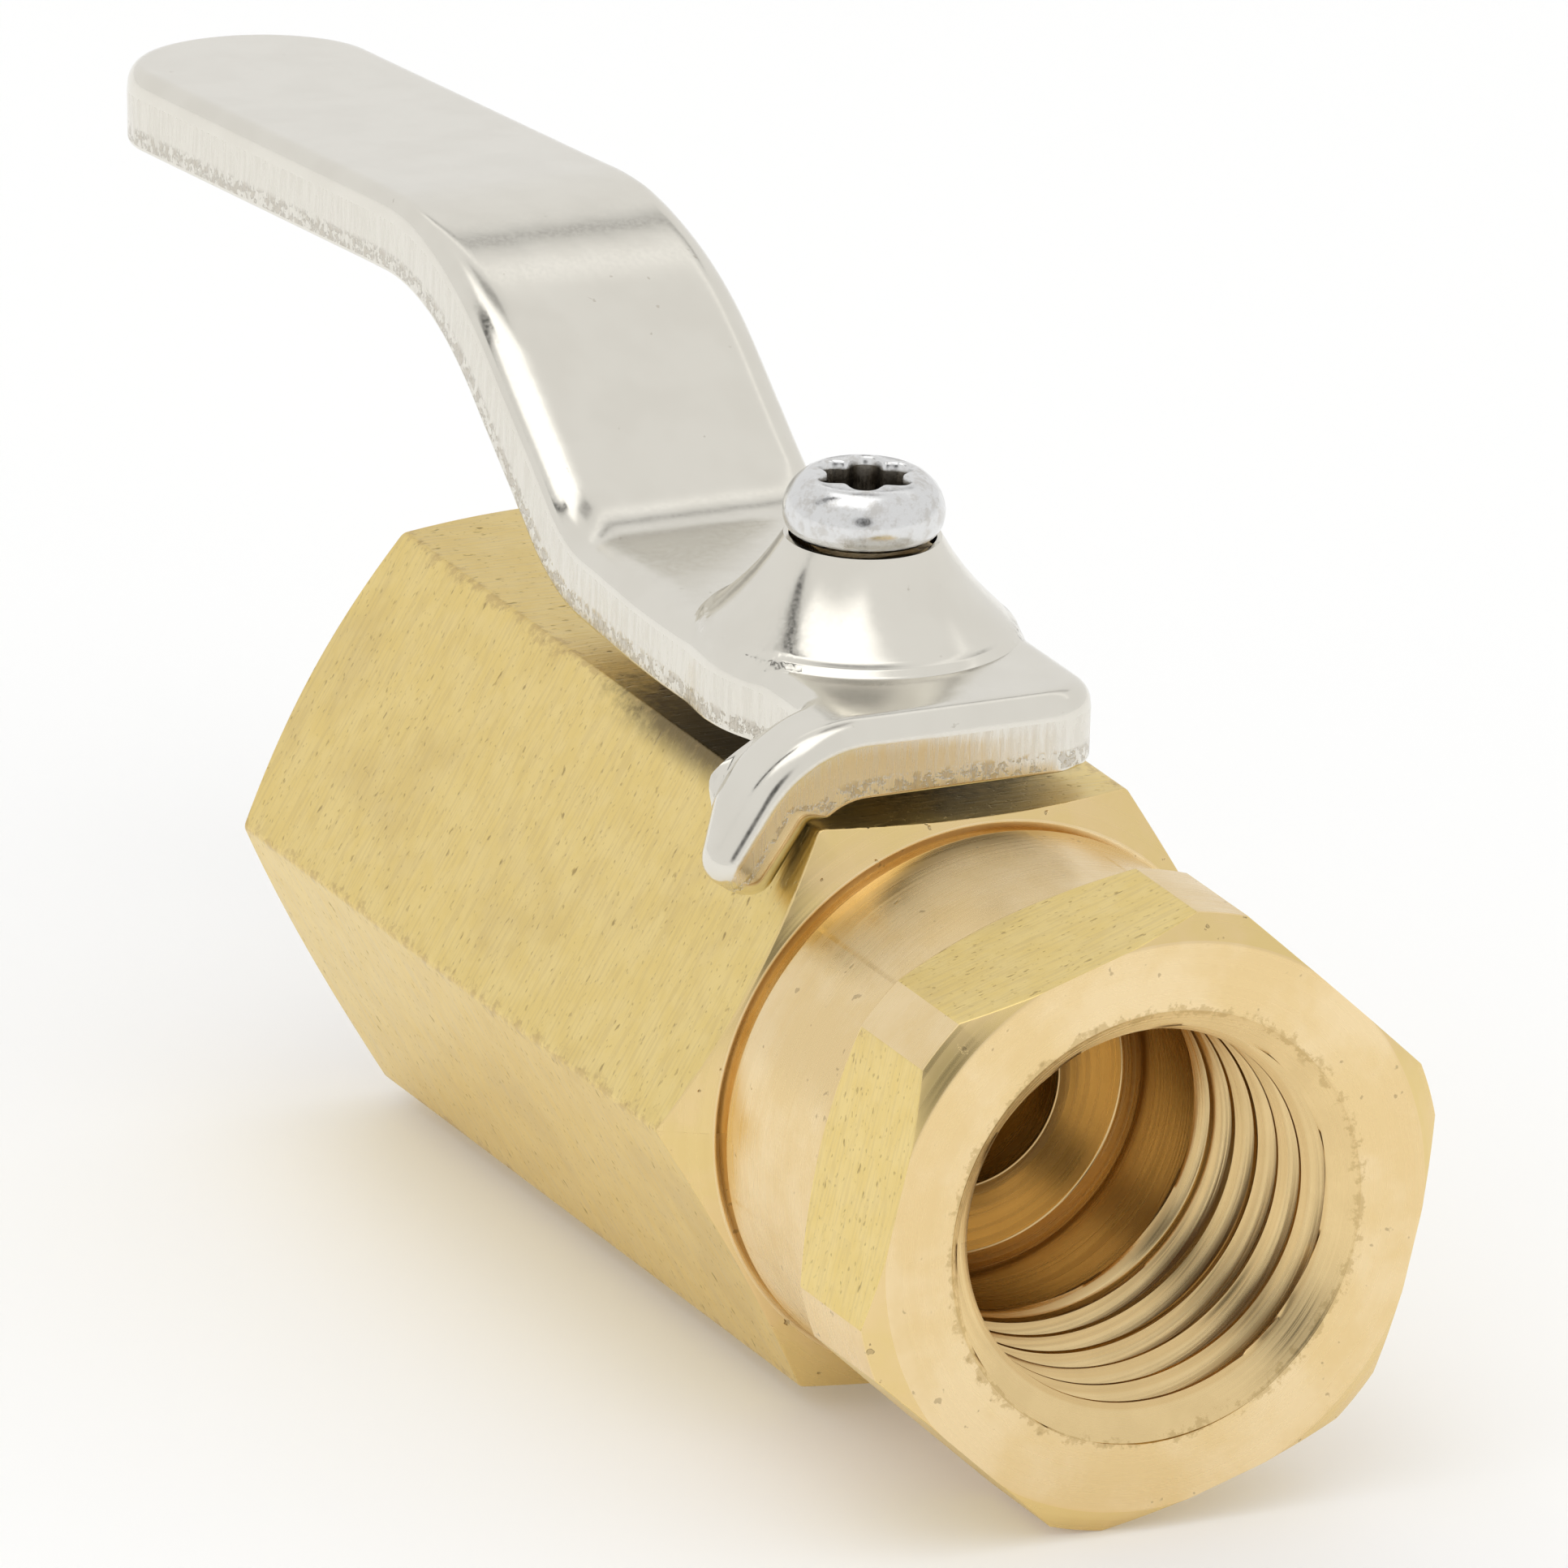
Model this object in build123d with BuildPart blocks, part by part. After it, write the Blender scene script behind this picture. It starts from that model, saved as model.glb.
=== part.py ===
"""Quarter-turn ball valve for 1/4 inch pipe: hexagon brass body, screwed-in end connector, stamped lever.

The origin is the centre of the rear port's end face. +X runs along the bore to the front port,
+Z runs up the stem, and the valve is modelled open, with the handle pointing back along -X.
All sizes are in millimetres.
"""
from build123d import *
from math import cos, radians, sin, sqrt, tan
import os

os.makedirs("parts", exist_ok=True)

# ---- driving dimensions -------------------------------------------------------------------
HEX_FLATS = 17.4625          # 11/16 inch hexagon bar, across the flats
BODY_LENGTH = 29.9
OVERALL_LENGTH = 41.6
STEM_X = 21.3                # stem axis, from the rear end face
BODY_CORNER_RADIUS = 0.25
CHAMFER_FACE_RADIUS = 8.58   # where the 30 degree corner chamfers meet the body's end faces
CHAMFER_ANGLE = 30.0

# 1/4-18 pipe thread, drawn as a plain bore at the thread's root
PORT_BORE_RADIUS = 6.7
PORT_THREAD_DEPTH = 10.6
TAP_DRILL_RADIUS = 5.6
PORT_DEPTH = 12.4
PORT_FLOOR_RADIUS = 5.15
PORT_FLOOR_CHAMFER = 0.45
FLOW_RADIUS = 3.05

# ball and seats
BALL_RADIUS = 5.0
BALL_BORE_RADIUS = 3.0
CHAMBER_RADIUS = 5.6
SEAT_INNER_RADIUS = 3.2
SEAT_OUTER_RADIUS = 5.15
SEAT_POCKET_RADIUS = 5.2
SEAT_NEAR = 3.0              # seat faces, from the ball's centre along the bore
SEAT_FAR = 5.6
SEAT_MIDDLE_ANGLE = 42.0     # of a point on the seat's spherical face, from the bore's axis
SEAT_CLEARANCE = 0.03
SEAT_POCKET_DEPTH = 1.5

# body thread, where the end connector screws in
JOINT_BORE_RADIUS = 7.25
JOINT_SPIGOT_RADIUS = 7.2
JOINT_BORE_START = 25.0
JOINT_MOUTH_CHAMFER = 0.35
SPIGOT_CHAMFER = 0.4
BODY_SEAL_THICKNESS = 0.4
BODY_SEAL_CLEARANCE = 0.1

# end connector
NECK_RADIUS = 8.1
NECK_LENGTH = 0.5
BARREL_RADIUS = 8.51
BARREL_EDGE = 0.12
WRENCH_FLATS = 17.32
WRENCH_CORNER_RADIUS = 9.54
WRENCH_TURN = 17.8           # about +X, from the body's hexagon
WRENCH_START = 36.3
WRENCH_CONE_LENGTH = 0.84
WRENCH_FACE_RADIUS = 8.75
WRENCH_CHAMFER_LENGTH = 0.5

# stem
STEM_RADIUS = 2.45
STEM_BORE_RADIUS = 2.5
FLANGE_RADIUS = 2.95
FLANGE_BORE_RADIUS = 3.05
FLANGE_BOTTOM = 5.12
FLANGE_TOP = 5.85
THRUST_WASHER_TOP = 6.1
THRUST_WASHER_CLEARANCE = 0.03
FLANGE_POCKET_START = 4.12     # the pocket runs into the ball's chamber
TANG_BOTTOM = 3.75
TANG_WIDTH = 2.4
TANG_LENGTH = 4.4
SLOT_CLEARANCE = 0.05
O_RING_SECTION = 0.8
O_RING_CENTRES = (6.75, 8.0)
GROOVE_WIDTH = 0.92
O_RING_CLEARANCE = 0.02
STEM_SHOULDER = 12.4
STEM_SQUARE = 3.4
STEM_TOP = 14.6

# lever
LEVER_THICKNESS = 2.4
LEVER_TOP = 11.9
LEVER_FRONT = 7.85           # front edge, ahead of the stem axis
BEND_1 = (10.5, 11.9)        # corners of the lever's top line in X and Z, before rounding
BEND_2 = (1.56, 18.49)
LEVER_TIP = (-24.45, 16.02)
BEND_1_RADIUS = 4.3
BEND_2_RADIUS = 12.8
HANDLE_HALF_WIDTH = 3.95
HANDLE_ROOT_HALF_WIDTH = 4.15
HUB_RADIUS = 4.8
HUB_BLEND_RADIUS = 2.0
TONGUE_HALF_WIDTH = 4.45
TONGUE_CORNER_RADIUS = 1.3
LEVER_TOP_ROUND = 0.85
BOSS_BASE_RADIUS = 4.5
BOSS_TOP_RADIUS = 2.35
BOSS_MIDDLE = (3.15, 13.55)    # a point on the boss's slightly hollow side, radius and height
BOSS_TOP = 14.75
BOSS_STEP = 0.25
BOSS_POCKET_RADIUS = 2.6
SQUARE_HOLE = 3.5

# stop tab on the lever's front left corner
TAB_REAR = 5.15              # ahead of the stem axis
TAB_THICKNESS = 2.3
TAB_SET_BACK = 0.03          # of its front and top faces, behind the plate's
TAB_CORNER = (-5.3, 10.72)   # corner of its middle line in Y and Z, before rounding
TAB_END = (-7.75, 6.95)
TAB_BEND_RADIUS = 3.2
TAB_ROOT = 3.0               # where the tab's strip starts, inside the tongue
TAB_SLANT_TOP = 8.8
TAB_TIP_REAR = 7.0
TAB_TIP_ROUND = 0.7
TAB_REAR_ROUND = 0.4

# lever screw, M2.5 pan head with a six-lobe recess
HEAD_RADIUS = 2.42
HEAD_HEIGHT = 1.9
HEAD_SKIRT = 0.6
HEAD_UNDERCUT = 0.25
HEAD_SKIRT_BULGE = 0.06
HEAD_CROWN_CURVE = 1.75
HEAD_CROWN_RADIUS = 1.35
RECESS_RADIUS = 1.2
RECESS_LOBE_RADIUS = 0.24
RECESS_DEPTH = 1.05
SCREW_RADIUS = 1.2
SCREW_HOLE_RADIUS = 1.25
SCREW_LENGTH = 4.6
SCREW_HOLE_DEPTH = 5.2


def save(part, name):
    """Label a finished piece and write its STEP file."""
    part.label = name
    export_step(part, f"parts/{name}.step")


def turned(points):
    """A face to revolve about the X axis, from (x, radius) points closed along the axis."""
    with BuildSketch() as section:
        with BuildLine():
            Polyline((points[0][0], 0), *points, (points[-1][0], 0), close=True)
        make_face()
    return section.sketch


def port_profile(face, direction):
    """(x, radius) points down a threaded port whose mouth is at x = face."""
    depths = [
        (0, PORT_BORE_RADIUS),
        (PORT_THREAD_DEPTH, PORT_BORE_RADIUS),
        (PORT_THREAD_DEPTH, TAP_DRILL_RADIUS),
        (PORT_DEPTH - PORT_FLOOR_CHAMFER, TAP_DRILL_RADIUS),
        (PORT_DEPTH, PORT_FLOOR_RADIUS),
        (PORT_DEPTH, FLOW_RADIUS),
    ]
    return [(face + direction * depth, radius) for depth, radius in depths]


# ---- valve body: hexagon bar, turned at both ends, bored from both ends ---------------------
chamfer_run = (HEX_FLATS / sqrt(3) - CHAMFER_FACE_RADIUS) * tan(radians(CHAMFER_ANGLE))
rear_seat_face = STEM_X - SEAT_FAR
body_bore = port_profile(0, 1) + [
    (rear_seat_face, FLOW_RADIUS),
    (rear_seat_face, SEAT_POCKET_RADIUS),
    (rear_seat_face + SEAT_POCKET_DEPTH, SEAT_POCKET_RADIUS),
    (rear_seat_face + SEAT_POCKET_DEPTH, CHAMBER_RADIUS),
    (JOINT_BORE_START, CHAMBER_RADIUS),
    (JOINT_BORE_START, JOINT_BORE_RADIUS),
    (BODY_LENGTH - JOINT_MOUTH_CHAMFER, JOINT_BORE_RADIUS),
    (BODY_LENGTH, JOINT_BORE_RADIUS + JOINT_MOUTH_CHAMFER),
]
with BuildPart() as valve_body:
    with BuildSketch(Plane.YZ):
        RegularPolygon(HEX_FLATS / 2, 6, major_radius=False)
        fillet(vertices(), BODY_CORNER_RADIUS)
    extrude(amount=BODY_LENGTH)
    corner = HEX_FLATS / sqrt(3)
    with BuildSketch():
        add(turned([
            (0, CHAMFER_FACE_RADIUS),
            (chamfer_run, corner),
            (BODY_LENGTH - chamfer_run, corner),
            (BODY_LENGTH, CHAMFER_FACE_RADIUS),
        ]))
    revolve(axis=Axis.X, mode=Mode.INTERSECT)
    with BuildSketch():
        add(turned(body_bore))
    revolve(axis=Axis.X, mode=Mode.SUBTRACT)
    with BuildSketch(Plane.XY.offset(FLANGE_POCKET_START)):
        with Locations((STEM_X, 0)):
            Circle(FLANGE_BORE_RADIUS)
    extrude(amount=THRUST_WASHER_TOP - FLANGE_POCKET_START, mode=Mode.SUBTRACT)
    with BuildSketch(Plane.XY.offset(THRUST_WASHER_TOP)):
        with Locations((STEM_X, 0)):
            Circle(STEM_BORE_RADIUS)
    extrude(amount=HEX_FLATS, mode=Mode.SUBTRACT)
save(valve_body.part, "valve_body")

# ---- end connector: spigot, neck, barrel and wrench hexagon ---------------------------------
wrench_end = OVERALL_LENGTH - WRENCH_CHAMFER_LENGTH
spigot_tip = JOINT_BORE_START + BODY_SEAL_THICKNESS
front_seat_face = STEM_X + SEAT_FAR
with BuildPart() as end_connector:
    with BuildSketch(Plane.YZ.offset(spigot_tip)):
        RegularPolygon(WRENCH_FLATS / 2, 6, major_radius=False, rotation=WRENCH_TURN)
    extrude(amount=OVERALL_LENGTH - spigot_tip)
    with BuildSketch():
        add(turned([
            (spigot_tip, JOINT_SPIGOT_RADIUS - SPIGOT_CHAMFER),
            (spigot_tip + SPIGOT_CHAMFER, JOINT_SPIGOT_RADIUS),
            (BODY_LENGTH, JOINT_SPIGOT_RADIUS),
            (BODY_LENGTH, NECK_RADIUS),
            (BODY_LENGTH + NECK_LENGTH, NECK_RADIUS),
            (BODY_LENGTH + NECK_LENGTH, BARREL_RADIUS - BARREL_EDGE),
            (BODY_LENGTH + NECK_LENGTH + BARREL_EDGE, BARREL_RADIUS),
            (WRENCH_START, BARREL_RADIUS),
            (WRENCH_START + WRENCH_CONE_LENGTH, WRENCH_CORNER_RADIUS),
            (wrench_end, WRENCH_CORNER_RADIUS),
            (OVERALL_LENGTH, WRENCH_FACE_RADIUS),
        ]))
    revolve(axis=Axis.X, mode=Mode.INTERSECT)
    with BuildSketch():
        add(turned(port_profile(OVERALL_LENGTH, -1) + [
            (front_seat_face, FLOW_RADIUS),
            (front_seat_face, SEAT_POCKET_RADIUS),
            (spigot_tip, SEAT_POCKET_RADIUS),
        ]))
    revolve(axis=Axis.X, mode=Mode.SUBTRACT)
save(end_connector.part, "end_connector")

with BuildPart() as body_seal:
    with BuildSketch(Plane.YZ.offset(JOINT_BORE_START)):
        Circle(JOINT_SPIGOT_RADIUS - BODY_SEAL_CLEARANCE)
        Circle(CHAMBER_RADIUS + BODY_SEAL_CLEARANCE, mode=Mode.SUBTRACT)
    extrude(amount=BODY_SEAL_THICKNESS)
save(body_seal.part, "body_seal")

# ---- ball: bored along X, slotted across its top for the stem's tang -------------------------
with BuildPart() as ball:
    with Locations((STEM_X, 0, 0)):
        Sphere(BALL_RADIUS)
        Cylinder(BALL_BORE_RADIUS, 2 * BALL_RADIUS, rotation=(0, 90, 0), mode=Mode.SUBTRACT)
    with BuildSketch(Plane.XY.offset(TANG_BOTTOM - SLOT_CLEARANCE)):
        with Locations((STEM_X, 0)):
            Rectangle(TANG_WIDTH + 2 * SLOT_CLEARANCE, 2 * BALL_RADIUS)
    extrude(amount=BALL_RADIUS, mode=Mode.SUBTRACT)
save(ball.part, "ball")

# ---- seat rings: one each side of the ball, with a spherical face ----------------------------
seat_sphere = BALL_RADIUS + SEAT_CLEARANCE
seat_middle = radians(SEAT_MIDDLE_ANGLE)
inner_reach = sqrt(seat_sphere**2 - SEAT_INNER_RADIUS**2)
for name, side in (("seat_ring_rear", -1), ("seat_ring_front", 1)):
    with BuildPart() as seat_ring:
        with BuildSketch():
            with BuildLine():
                sphere_outer = (STEM_X + side * SEAT_NEAR, sqrt(seat_sphere**2 - SEAT_NEAR**2))
                sphere_inner = (STEM_X + side * inner_reach, SEAT_INNER_RADIUS)
                sphere_middle = (
                    STEM_X + side * seat_sphere * cos(seat_middle),
                    seat_sphere * sin(seat_middle),
                )
                ThreePointArc(sphere_inner, sphere_middle, sphere_outer)
                Polyline(
                    sphere_outer,
                    (STEM_X + side * SEAT_NEAR, SEAT_OUTER_RADIUS),
                    (STEM_X + side * SEAT_FAR, SEAT_OUTER_RADIUS),
                    (STEM_X + side * SEAT_FAR, SEAT_INNER_RADIUS),
                    sphere_inner,
                )
            make_face()
        revolve(axis=Axis.X)
    save(seat_ring.part, name)

# ---- stem: tang, flange, sealed shank with two grooves, square for the lever -----------------
groove_root = STEM_BORE_RADIUS - O_RING_CLEARANCE - O_RING_SECTION
stem_profile = [
    (0, FLANGE_BOTTOM),
    (FLANGE_RADIUS, FLANGE_BOTTOM),
    (FLANGE_RADIUS, FLANGE_TOP),
    (STEM_RADIUS, FLANGE_TOP),
]
for centre in O_RING_CENTRES:
    low, high = centre - GROOVE_WIDTH / 2, centre + GROOVE_WIDTH / 2
    stem_profile += [(STEM_RADIUS, low), (groove_root, low), (groove_root, high), (STEM_RADIUS, high)]
stem_profile += [(STEM_RADIUS, STEM_SHOULDER), (0, STEM_SHOULDER)]
with BuildPart() as stem:
    with BuildSketch(Plane.XZ):
        with BuildLine():
            Polyline(*[(STEM_X + radius, height) for radius, height in stem_profile], close=True)
        make_face()
    revolve(axis=Axis((STEM_X, 0, 0), (0, 0, 1)))
    with BuildSketch(Plane.XY.offset(TANG_BOTTOM)):
        with Locations((STEM_X, 0)):
            Rectangle(TANG_WIDTH, TANG_LENGTH)
    extrude(amount=FLANGE_BOTTOM - TANG_BOTTOM)
    with BuildSketch(Plane.XY.offset(STEM_SHOULDER)):
        with Locations((STEM_X, 0)):
            Rectangle(STEM_SQUARE, STEM_SQUARE)
    extrude(amount=STEM_TOP - STEM_SHOULDER)
    with BuildSketch(Plane.XY.offset(STEM_TOP)):
        with Locations((STEM_X, 0)):
            Circle(SCREW_HOLE_RADIUS)
    extrude(amount=-SCREW_HOLE_DEPTH, mode=Mode.SUBTRACT)
save(stem.part, "stem")

with BuildPart() as thrust_washer:
    with BuildSketch(Plane.XY.offset(FLANGE_TOP)):
        with Locations((STEM_X, 0)):
            Circle(FLANGE_RADIUS)
            Circle(STEM_RADIUS + THRUST_WASHER_CLEARANCE, mode=Mode.SUBTRACT)
    extrude(amount=THRUST_WASHER_TOP - FLANGE_TOP - THRUST_WASHER_CLEARANCE)
save(thrust_washer.part, "thrust_washer")

for name, centre in zip(("stem_o_ring_lower", "stem_o_ring_upper"), O_RING_CENTRES):
    with BuildPart() as o_ring:
        with Locations((STEM_X, 0, centre)):
            Torus(groove_root + O_RING_SECTION / 2, O_RING_SECTION / 2)
    save(o_ring.part, name)

# ---- lever: bent strip cut to its outline, with a conical boss and a bent stop tab ------------
half_thickness = LEVER_THICKNESS / 2
front_x = STEM_X + LEVER_FRONT


def unit(start, end):
    """Direction from one point to another, as (dx, dz)."""
    length = sqrt((end[0] - start[0]) ** 2 + (end[1] - start[1]) ** 2)
    return (end[0] - start[0]) / length, (end[1] - start[1]) / length


def lowered_corner(before, corner, after, drop):
    """The corner of a line that runs drop below the line before-corner-after (drawn towards -X)."""
    first, second = unit(before, corner), unit(corner, after)
    cosine = first[0] * second[0] + first[1] * second[1]
    normal = (first[1] + second[1], -(first[0] + second[0]))
    scale = -drop / (1 + cosine)
    return corner[0] + scale * normal[0], corner[1] + scale * normal[1]


top_line = [(front_x, LEVER_TOP), BEND_1, BEND_2, LEVER_TIP]
tip_direction = unit(BEND_2, LEVER_TIP)
middle_line = [
    (front_x, LEVER_TOP - half_thickness),
    lowered_corner(top_line[0], BEND_1, BEND_2, half_thickness),
    lowered_corner(BEND_1, BEND_2, LEVER_TIP, half_thickness),
]
middle_line.append((
    LEVER_TIP[0] + tip_direction[0] - tip_direction[1] * half_thickness,
    LEVER_TIP[1] + tip_direction[1] + tip_direction[0] * half_thickness,
))
handle_end = LEVER_TIP[0] + HANDLE_HALF_WIDTH


def rim_edges(part, upper):
    """Edges where the strip's upper (or lower) faces meet its side walls."""
    sign = 1 if upper else -1
    faces = part.faces()
    skins = [face for face in faces if sign * face.normal_at().Z > 0.3]
    walls = [face for face in faces if abs(face.normal_at().Z) < 0.15]
    wall_rims = {edge for face in walls for edge in face.edges()}
    return [edge for face in skins for edge in face.edges() if edge in wall_rims]


def tab_rims(part, front):
    """Edges where the tab's outer faces meet its front (or rear) side."""
    sign = 1 if front else -1
    faces = part.faces()
    outer_faces = [face for face in faces if face.normal_at().Y < -0.4 or face.normal_at().Z > 0.7]
    side_faces = [face for face in faces if sign * face.normal_at().X > 0.8]
    side_edges = {edge for face in side_faces for edge in face.edges()}
    return [edge for face in outer_faces for edge in face.edges() if edge in side_edges]


# the tab is a short strip bent down and outward, its lower rear edge slanted forward
with BuildPart() as stop_tab:
    with BuildSketch(Plane.YZ.offset(STEM_X + TAB_REAR)):
        with BuildLine():
            FilletPolyline((-TAB_ROOT, TAB_CORNER[1]), TAB_CORNER, TAB_END, radius=TAB_BEND_RADIUS)
        trace(line_width=TAB_THICKNESS)
    extrude(amount=LEVER_FRONT - TAB_SET_BACK - TAB_REAR)
    tip_face = faces().sort_by(Axis.Z)[0]
    fillet(tip_face.edges().filter_by(Axis.X), TAB_TIP_ROUND)
    fillet(tab_rims(stop_tab.part, front=False), TAB_REAR_ROUND)
    fillet(tab_rims(stop_tab.part, front=True), LEVER_TOP_ROUND)
    with BuildSketch(Plane.XZ.offset(-HEX_FLATS)):
        with BuildLine():
            Polyline(
                (STEM_X + TAB_REAR - 1, TAB_SLANT_TOP),
                (STEM_X + TAB_REAR, TAB_SLANT_TOP),
                (STEM_X + TAB_TIP_REAR, TAB_END[1] - TAB_THICKNESS / 2),
                (STEM_X + TAB_REAR - 1, TAB_END[1] - TAB_THICKNESS),
                close=True,
            )
        make_face()
    extrude(amount=2 * HEX_FLATS, mode=Mode.SUBTRACT)

with BuildPart() as lever:
    with BuildSketch(Plane.XZ):
        with BuildLine():
            bend_radii = [BEND_1_RADIUS + half_thickness, BEND_2_RADIUS - half_thickness]
            FilletPolyline(*middle_line, radius=bend_radii)
        trace(line_width=LEVER_THICKNESS)
    extrude(amount=HEX_FLATS, both=True)
    with BuildSketch():
        with Locations((handle_end, 0)):
            Circle(HANDLE_HALF_WIDTH)
        with BuildLine():
            Polyline(
                (handle_end, HANDLE_HALF_WIDTH),
                (BEND_1[0], HANDLE_ROOT_HALF_WIDTH),
                (STEM_X, HANDLE_ROOT_HALF_WIDTH),
                (STEM_X, -HANDLE_ROOT_HALF_WIDTH),
                (BEND_1[0], -HANDLE_ROOT_HALF_WIDTH),
                (handle_end, -HANDLE_HALF_WIDTH),
                close=True,
            )
        make_face()
        with Locations((STEM_X, 0)):
            Circle(HUB_RADIUS)
            Rectangle(LEVER_FRONT, 2 * TONGUE_HALF_WIDTH, align=(Align.MIN, Align.CENTER))
        far_corner = vertices().group_by(Axis.X)[-1].sort_by(Axis.Y)[-1]
        fillet(far_corner, TONGUE_CORNER_RADIUS)
        hub_joints = vertices().filter_by_position(Axis.X, STEM_X - HUB_RADIUS, STEM_X)
        fillet(hub_joints, HUB_BLEND_RADIUS)
    extrude(amount=3 * LEVER_TOP, mode=Mode.INTERSECT)
    fillet(rim_edges(lever.part, upper=True), LEVER_TOP_ROUND)
    add(stop_tab.part)
    # boss: a low step, a cone, and below them a pocket for the stem and its square hole
    with BuildSketch(Plane.XZ):
        with BuildLine():
            Polyline(
                (STEM_X, LEVER_TOP - half_thickness),
                (STEM_X + BOSS_BASE_RADIUS + BOSS_STEP, LEVER_TOP - half_thickness),
                (STEM_X + BOSS_BASE_RADIUS + BOSS_STEP, LEVER_TOP),
                (STEM_X + BOSS_BASE_RADIUS, LEVER_TOP + BOSS_STEP),
            )
            boss_side = ThreePointArc(
                (STEM_X + BOSS_BASE_RADIUS, LEVER_TOP + BOSS_STEP),
                (STEM_X + BOSS_MIDDLE[0], BOSS_MIDDLE[1]),
                (STEM_X + BOSS_TOP_RADIUS, BOSS_TOP),
            )
            Polyline(boss_side @ 1, (STEM_X, BOSS_TOP), (STEM_X, LEVER_TOP - half_thickness))
        make_face()
    revolve(axis=Axis((STEM_X, 0, 0), (0, 0, 1)))
    with BuildSketch():
        with Locations((STEM_X, 0)):
            Circle(BOSS_POCKET_RADIUS)
    extrude(amount=STEM_SHOULDER, mode=Mode.SUBTRACT)
    with BuildSketch():
        with Locations((STEM_X, 0)):
            Rectangle(SQUARE_HOLE, SQUARE_HOLE)
    extrude(amount=2 * BOSS_TOP, mode=Mode.SUBTRACT)
save(lever.part, "lever")

# ---- lever screw: pan head with a six-lobe recess, and its shank ------------------------------
with BuildPart() as lever_screw:
    with BuildSketch(Plane.XZ):
        with BuildLine():
            Polyline(
                (STEM_X, BOSS_TOP - SCREW_LENGTH),
                (STEM_X + SCREW_RADIUS, BOSS_TOP - SCREW_LENGTH),
                (STEM_X + SCREW_RADIUS, BOSS_TOP),
                (STEM_X + HEAD_RADIUS - HEAD_UNDERCUT, BOSS_TOP),
            )
            ThreePointArc(
                (STEM_X + HEAD_RADIUS - HEAD_UNDERCUT, BOSS_TOP),
                (STEM_X + HEAD_RADIUS - HEAD_SKIRT_BULGE, BOSS_TOP + HEAD_SKIRT / 2),
                (STEM_X + HEAD_RADIUS, BOSS_TOP + HEAD_SKIRT),
            )
            crown = RadiusArc(
                (STEM_X + HEAD_RADIUS, BOSS_TOP + HEAD_SKIRT),
                (STEM_X + HEAD_CROWN_RADIUS, BOSS_TOP + HEAD_HEIGHT),
                -HEAD_CROWN_CURVE,
            )
            Polyline(crown @ 1, (STEM_X, BOSS_TOP + HEAD_HEIGHT), (STEM_X, BOSS_TOP - SCREW_LENGTH))
        make_face()
    revolve(axis=Axis((STEM_X, 0, 0), (0, 0, 1)))
    with BuildSketch(Plane.XY.offset(BOSS_TOP + HEAD_HEIGHT)):
        with Locations((STEM_X, 0)):
            Circle(RECESS_RADIUS - RECESS_LOBE_RADIUS)
            with PolarLocations(RECESS_RADIUS - RECESS_LOBE_RADIUS, 6):
                Circle(RECESS_LOBE_RADIUS)
    extrude(amount=-RECESS_DEPTH, mode=Mode.SUBTRACT)
save(lever_screw.part, "lever_screw")
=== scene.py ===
"""A quarter-turn ball valve, looks and setting: machined brass, nickel-plated lever, soft studio light.

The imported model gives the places. Lengths below are in millimetres in the row frame, angles in degrees.
The origin is the rear port's end face, +X runs along the bore to the front port and +Z up the stem.
"""
from math import atan, atan2, cos, degrees, hypot, pi, radians, sin, tan

import bmesh
import bpy
import numpy as np
from mathutils import Matrix, Vector
from mathutils.geometry import delaunay_2d_cdt


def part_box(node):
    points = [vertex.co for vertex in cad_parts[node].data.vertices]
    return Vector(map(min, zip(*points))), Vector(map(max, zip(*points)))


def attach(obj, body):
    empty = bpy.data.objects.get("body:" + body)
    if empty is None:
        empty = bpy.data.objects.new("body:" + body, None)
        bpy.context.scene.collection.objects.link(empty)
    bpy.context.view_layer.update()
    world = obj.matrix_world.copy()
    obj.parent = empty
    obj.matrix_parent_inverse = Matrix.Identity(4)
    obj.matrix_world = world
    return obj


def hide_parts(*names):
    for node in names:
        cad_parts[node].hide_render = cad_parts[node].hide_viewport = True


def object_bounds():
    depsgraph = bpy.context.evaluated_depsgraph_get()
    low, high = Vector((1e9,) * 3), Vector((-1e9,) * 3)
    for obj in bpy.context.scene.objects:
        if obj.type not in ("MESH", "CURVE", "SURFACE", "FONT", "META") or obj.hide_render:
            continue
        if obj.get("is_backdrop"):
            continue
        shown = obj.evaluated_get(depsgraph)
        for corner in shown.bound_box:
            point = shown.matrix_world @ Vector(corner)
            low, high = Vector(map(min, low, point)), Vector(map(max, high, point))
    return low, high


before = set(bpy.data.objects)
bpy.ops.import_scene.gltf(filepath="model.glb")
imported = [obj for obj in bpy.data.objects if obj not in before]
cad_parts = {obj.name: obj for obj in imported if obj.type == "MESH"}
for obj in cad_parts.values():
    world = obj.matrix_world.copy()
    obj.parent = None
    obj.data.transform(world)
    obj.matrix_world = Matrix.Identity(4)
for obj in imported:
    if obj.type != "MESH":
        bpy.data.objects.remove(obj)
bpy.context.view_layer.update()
MM = 0.001


def cad_box(node):
    """Lowest and highest corner of a CAD node, in millimetres."""
    low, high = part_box(node)
    return low / MM, high / MM


# ---- driving dimensions, from the frame ----
body_low, body_high = cad_box("valve_body")
connector_low, connector_high = cad_box("end_connector")
stem_low, stem_high = cad_box("stem")
_, lever_high = cad_box("lever")
screw_low, screw_high = cad_box("lever_screw")

BODY_APOTHEM = (body_high.z - body_low.z) / 2
BODY_LENGTH = body_high.x
OVERALL_LENGTH = connector_high.x
STEM_X = (stem_low.x + stem_high.x) / 2
LEVER_FRONT = lever_high.x
HEAD_RADIUS = (screw_high.x - screw_low.x) / 2
HEAD_TOP = screw_high.z

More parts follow.
